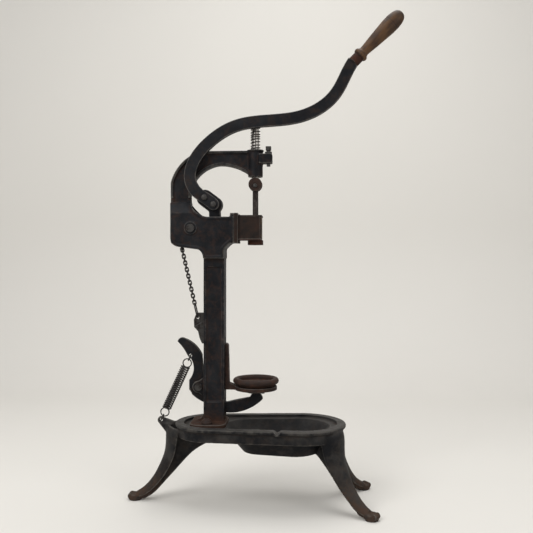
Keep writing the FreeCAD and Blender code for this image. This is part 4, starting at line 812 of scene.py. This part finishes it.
class CORKER_OT_springs(bpy.types.Operator):
    """The plunger's return spring and the platform's tension spring"""
    bl_idname = "corker.springs"
    bl_label = "Springs"

    def execute(self, context):
        wire = settings("wire")
        half_wire = wire.return_wire / 2
        low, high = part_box("return_spring")
        middle = (low + high) / 2
        base = (middle.x, middle.y, low.z + half_wire)
        coil = helix(base, (0, 0, 1), (high.x - low.x) / 2 - half_wire, high.z - low.z - wire.return_wire,
                     wire.return_turns, closed=0.25)
        piece = wire_piece("return_spring", coil, half_wire)
        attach(piece, "frame")
        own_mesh(piece)

        # the coil ends where its inside meets the round of each eye
        half_wire = wire.coil_wire / 2
        low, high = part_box("tension_spring")
        radius = (high.y - low.y) / 2 - half_wire
        low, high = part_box("spring_lower_eye")
        lower = (low + high) / 2
        low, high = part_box("spring_upper_eye")
        upper = (low + high) / 2
        eye = (high.z - low.z) / 2
        centre = (upper + lower) / 2
        along = (upper - lower).normalized()
        seat = math.sqrt(max(eye ** 2 - (radius - half_wire) ** 2, 0.0)) + COIL_SEAT
        reach = (upper - lower).length / 2 - seat
        base = centre - along * reach
        coil = helix(base, along, radius, reach * 2, wire.coil_turns)
        piece = wire_piece("tension_spring", coil, half_wire)
        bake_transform(piece)
        for node in ("spring_hook", "spring_upper_eye", "spring_lower_eye", "spring_anchor"):
            polish(node)
        return {"FINISHED"}


class CORKER_OT_chain(bpy.types.Operator):
    """The chain, its hook and the lock shoe"""
    bl_idname = "corker.chain"
    bl_label = "Chain and shoe"

    def execute(self, context):
        polish("chain_links")
        polish("chain_hook")
        aged_copy("lock_shoe", cell=0.0006, swell=0.0003, relax=4)
        return {"FINISHED"}


class CORKER_OT_platform(bpy.types.Operator):
    """The bottle platform, its bracket and the lever under it"""
    bl_idname = "corker.platform"
    bl_label = "Platform"

    def execute(self, context):
        aged_copy("platform_dish", cell=0.0008, swell=0.0004, relax=4)
        aged_copy("platform_bracket", cell=0.0009, swell=0.0004, relax=4)
        aged_copy("platform_lever", cell=0.0009, swell=0.0004, relax=5)
        polish("platform_screws")
        polish("platform_lever_pin")
        return {"FINISHED"}


class CORKER_OT_fasteners(bpy.types.Operator):
    """Bolts, nuts and screws"""
    bl_idname = "corker.fasteners"
    bl_label = "Fasteners"

    def execute(self, context):
        for node in ("foot_bolts", "foot_nuts", "lever_bolts", "axle_nut", "lever_axle", "stop_screw",
                     "stop_locknut", "knuckle_screw"):
            aged_copy(node, cell=0.0004, swell=0.0, relax=2)
        polish("housing_screws")
        return {"FINISHED"}


def paper(floor):
    """Matt paper, hardly paler in broad clouds: a calm ground that keeps
    the eye on the iron."""
    material, tree = new_material("Matt paper sweep")
    cloud = noise(tree, place_of(tree), 0.5, 3.0)
    paler = tuple(min(c * 1.03, 1.0) for c in floor)
    shader = add(tree, "ShaderNodeBsdfPrincipled", {"Roughness": 0.9},
                 {"Base Color": laid_over(tree, cloud, floor, paler)})
    add(tree, "ShaderNodeOutputMaterial", links={"Surface": shader.outputs[0]})
    return material


def lay_sweep(floor):
    """Floor and backdrop in one sheet, with a round bend between them."""
    line = [(SWEEP_FRONT, 0.0), (SWEEP_BACK, 0.0)]
    for k in range(1, SWEEP_STEPS + 1):
        angle = math.pi / 2 * k / SWEEP_STEPS
        line.append((SWEEP_BACK + SWEEP_BEND * math.sin(angle), SWEEP_BEND - SWEEP_BEND * math.cos(angle)))
    line.append((SWEEP_BACK + SWEEP_BEND, SWEEP_TOP))
    work = bmesh.new()
    rows = [[work.verts.new((x, y, z)) for x in (-SWEEP_HALF, SWEEP_HALF)] for y, z in line]
    for near, far in zip(rows[:-1], rows[1:]):
        work.faces.new((near[0], near[1], far[1], far[0])).smooth = True
    mesh = bpy.data.meshes.new("sweep")
    work.to_mesh(mesh)
    work.free()
    mesh.materials.append(paper(floor))
    put("sweep", mesh)


class CORKER_OT_stage(bpy.types.Operator):
    """The pale sweep, the lamps and the camera"""
    bl_idname = "corker.stage"
    bl_label = "Stage"

    def execute(self, context):
        stage = settings("stage")
        lay_sweep(stage.floor)
        for name, spot, side, setting in LAMPS:
            lamp = bpy.data.lights.new(name, "AREA")
            lamp.shape = "SQUARE"
            lamp.size = side
            lamp.energy = getattr(stage, setting)
            holder = put(name, lamp)
            holder.location = spot
            away = Vector(LAMP_TARGET) - Vector(spot)
            holder.rotation_euler = away.to_track_quat("-Z", "Y").to_euler()
        world = bpy.data.worlds.new("Studio air")
        context.scene.world = world
        world.use_nodes = True
        world.node_tree.nodes.clear()
        white = (1.0, 1.0, 1.0, 1.0)
        air = add(world.node_tree, "ShaderNodeBackground", {"Color": white, "Strength": AIR_LIGHT})
        add(world.node_tree, "ShaderNodeOutputWorld", links={"Surface": air.outputs[0]})

        lens = bpy.data.cameras.new("Camera")
        lens.lens = LENS
        lens.sensor_width = SENSOR
        camera = put("Camera", lens)
        camera.location = CAMERA_PLACE
        camera.rotation_euler = (math.pi / 2, 0.0, CAMERA_TURN)
        context.scene.camera = camera
        context.scene.view_settings.view_transform = "Standard"
        return {"FINISHED"}


class CORKER_PT_panel(bpy.types.Panel):
    """Lists the corker's pieces"""
    bl_idname = "CORKER_PT_panel"
    bl_label = "Wine corker"
    bl_space_type = "VIEW_3D"
    bl_region_type = "UI"
    bl_category = "Corker"

    def draw(self, context):
        for operator in operators:
            self.layout.operator(operator.bl_idname)


groups = {"casting": CastingSettings, "forging": ForgingSettings, "wood": WoodSettings,
          "wire": WireSettings, "stage": StageSettings}
operators = (CORKER_OT_stage, CORKER_OT_stand, CORKER_OT_column, CORKER_OT_lever, CORKER_OT_handle,
             CORKER_OT_plunger, CORKER_OT_jaws, CORKER_OT_springs, CORKER_OT_chain, CORKER_OT_platform,
             CORKER_OT_fasteners)


def register():
    for kind in (*groups.values(), *operators, CORKER_PT_panel):
        bpy.utils.register_class(kind)
    for name, kind in groups.items():
        setattr(bpy.types.Scene, "corker_" + name, PointerProperty(type=kind))


def unregister():
    for name in groups:
        delattr(bpy.types.Scene, "corker_" + name)
    for kind in (CORKER_PT_panel, *reversed(operators), *groups.values()):
        bpy.utils.unregister_class(kind)


def main():
    for thing in [o for o in bpy.data.objects if o.type in {"LIGHT", "CAMERA"} or o.name == "Cube"]:
        bpy.data.objects.remove(thing)
    register()
    bpy.ops.corker.stage()
    bpy.ops.corker.stand()
    bpy.ops.corker.column()
    bpy.ops.corker.lever()
    bpy.ops.corker.handle()
    bpy.ops.corker.plunger()
    bpy.ops.corker.jaws()
    bpy.ops.corker.springs()
    bpy.ops.corker.chain()
    bpy.ops.corker.platform()
    bpy.ops.corker.fasteners()


if __name__ == "__main__":
    main()
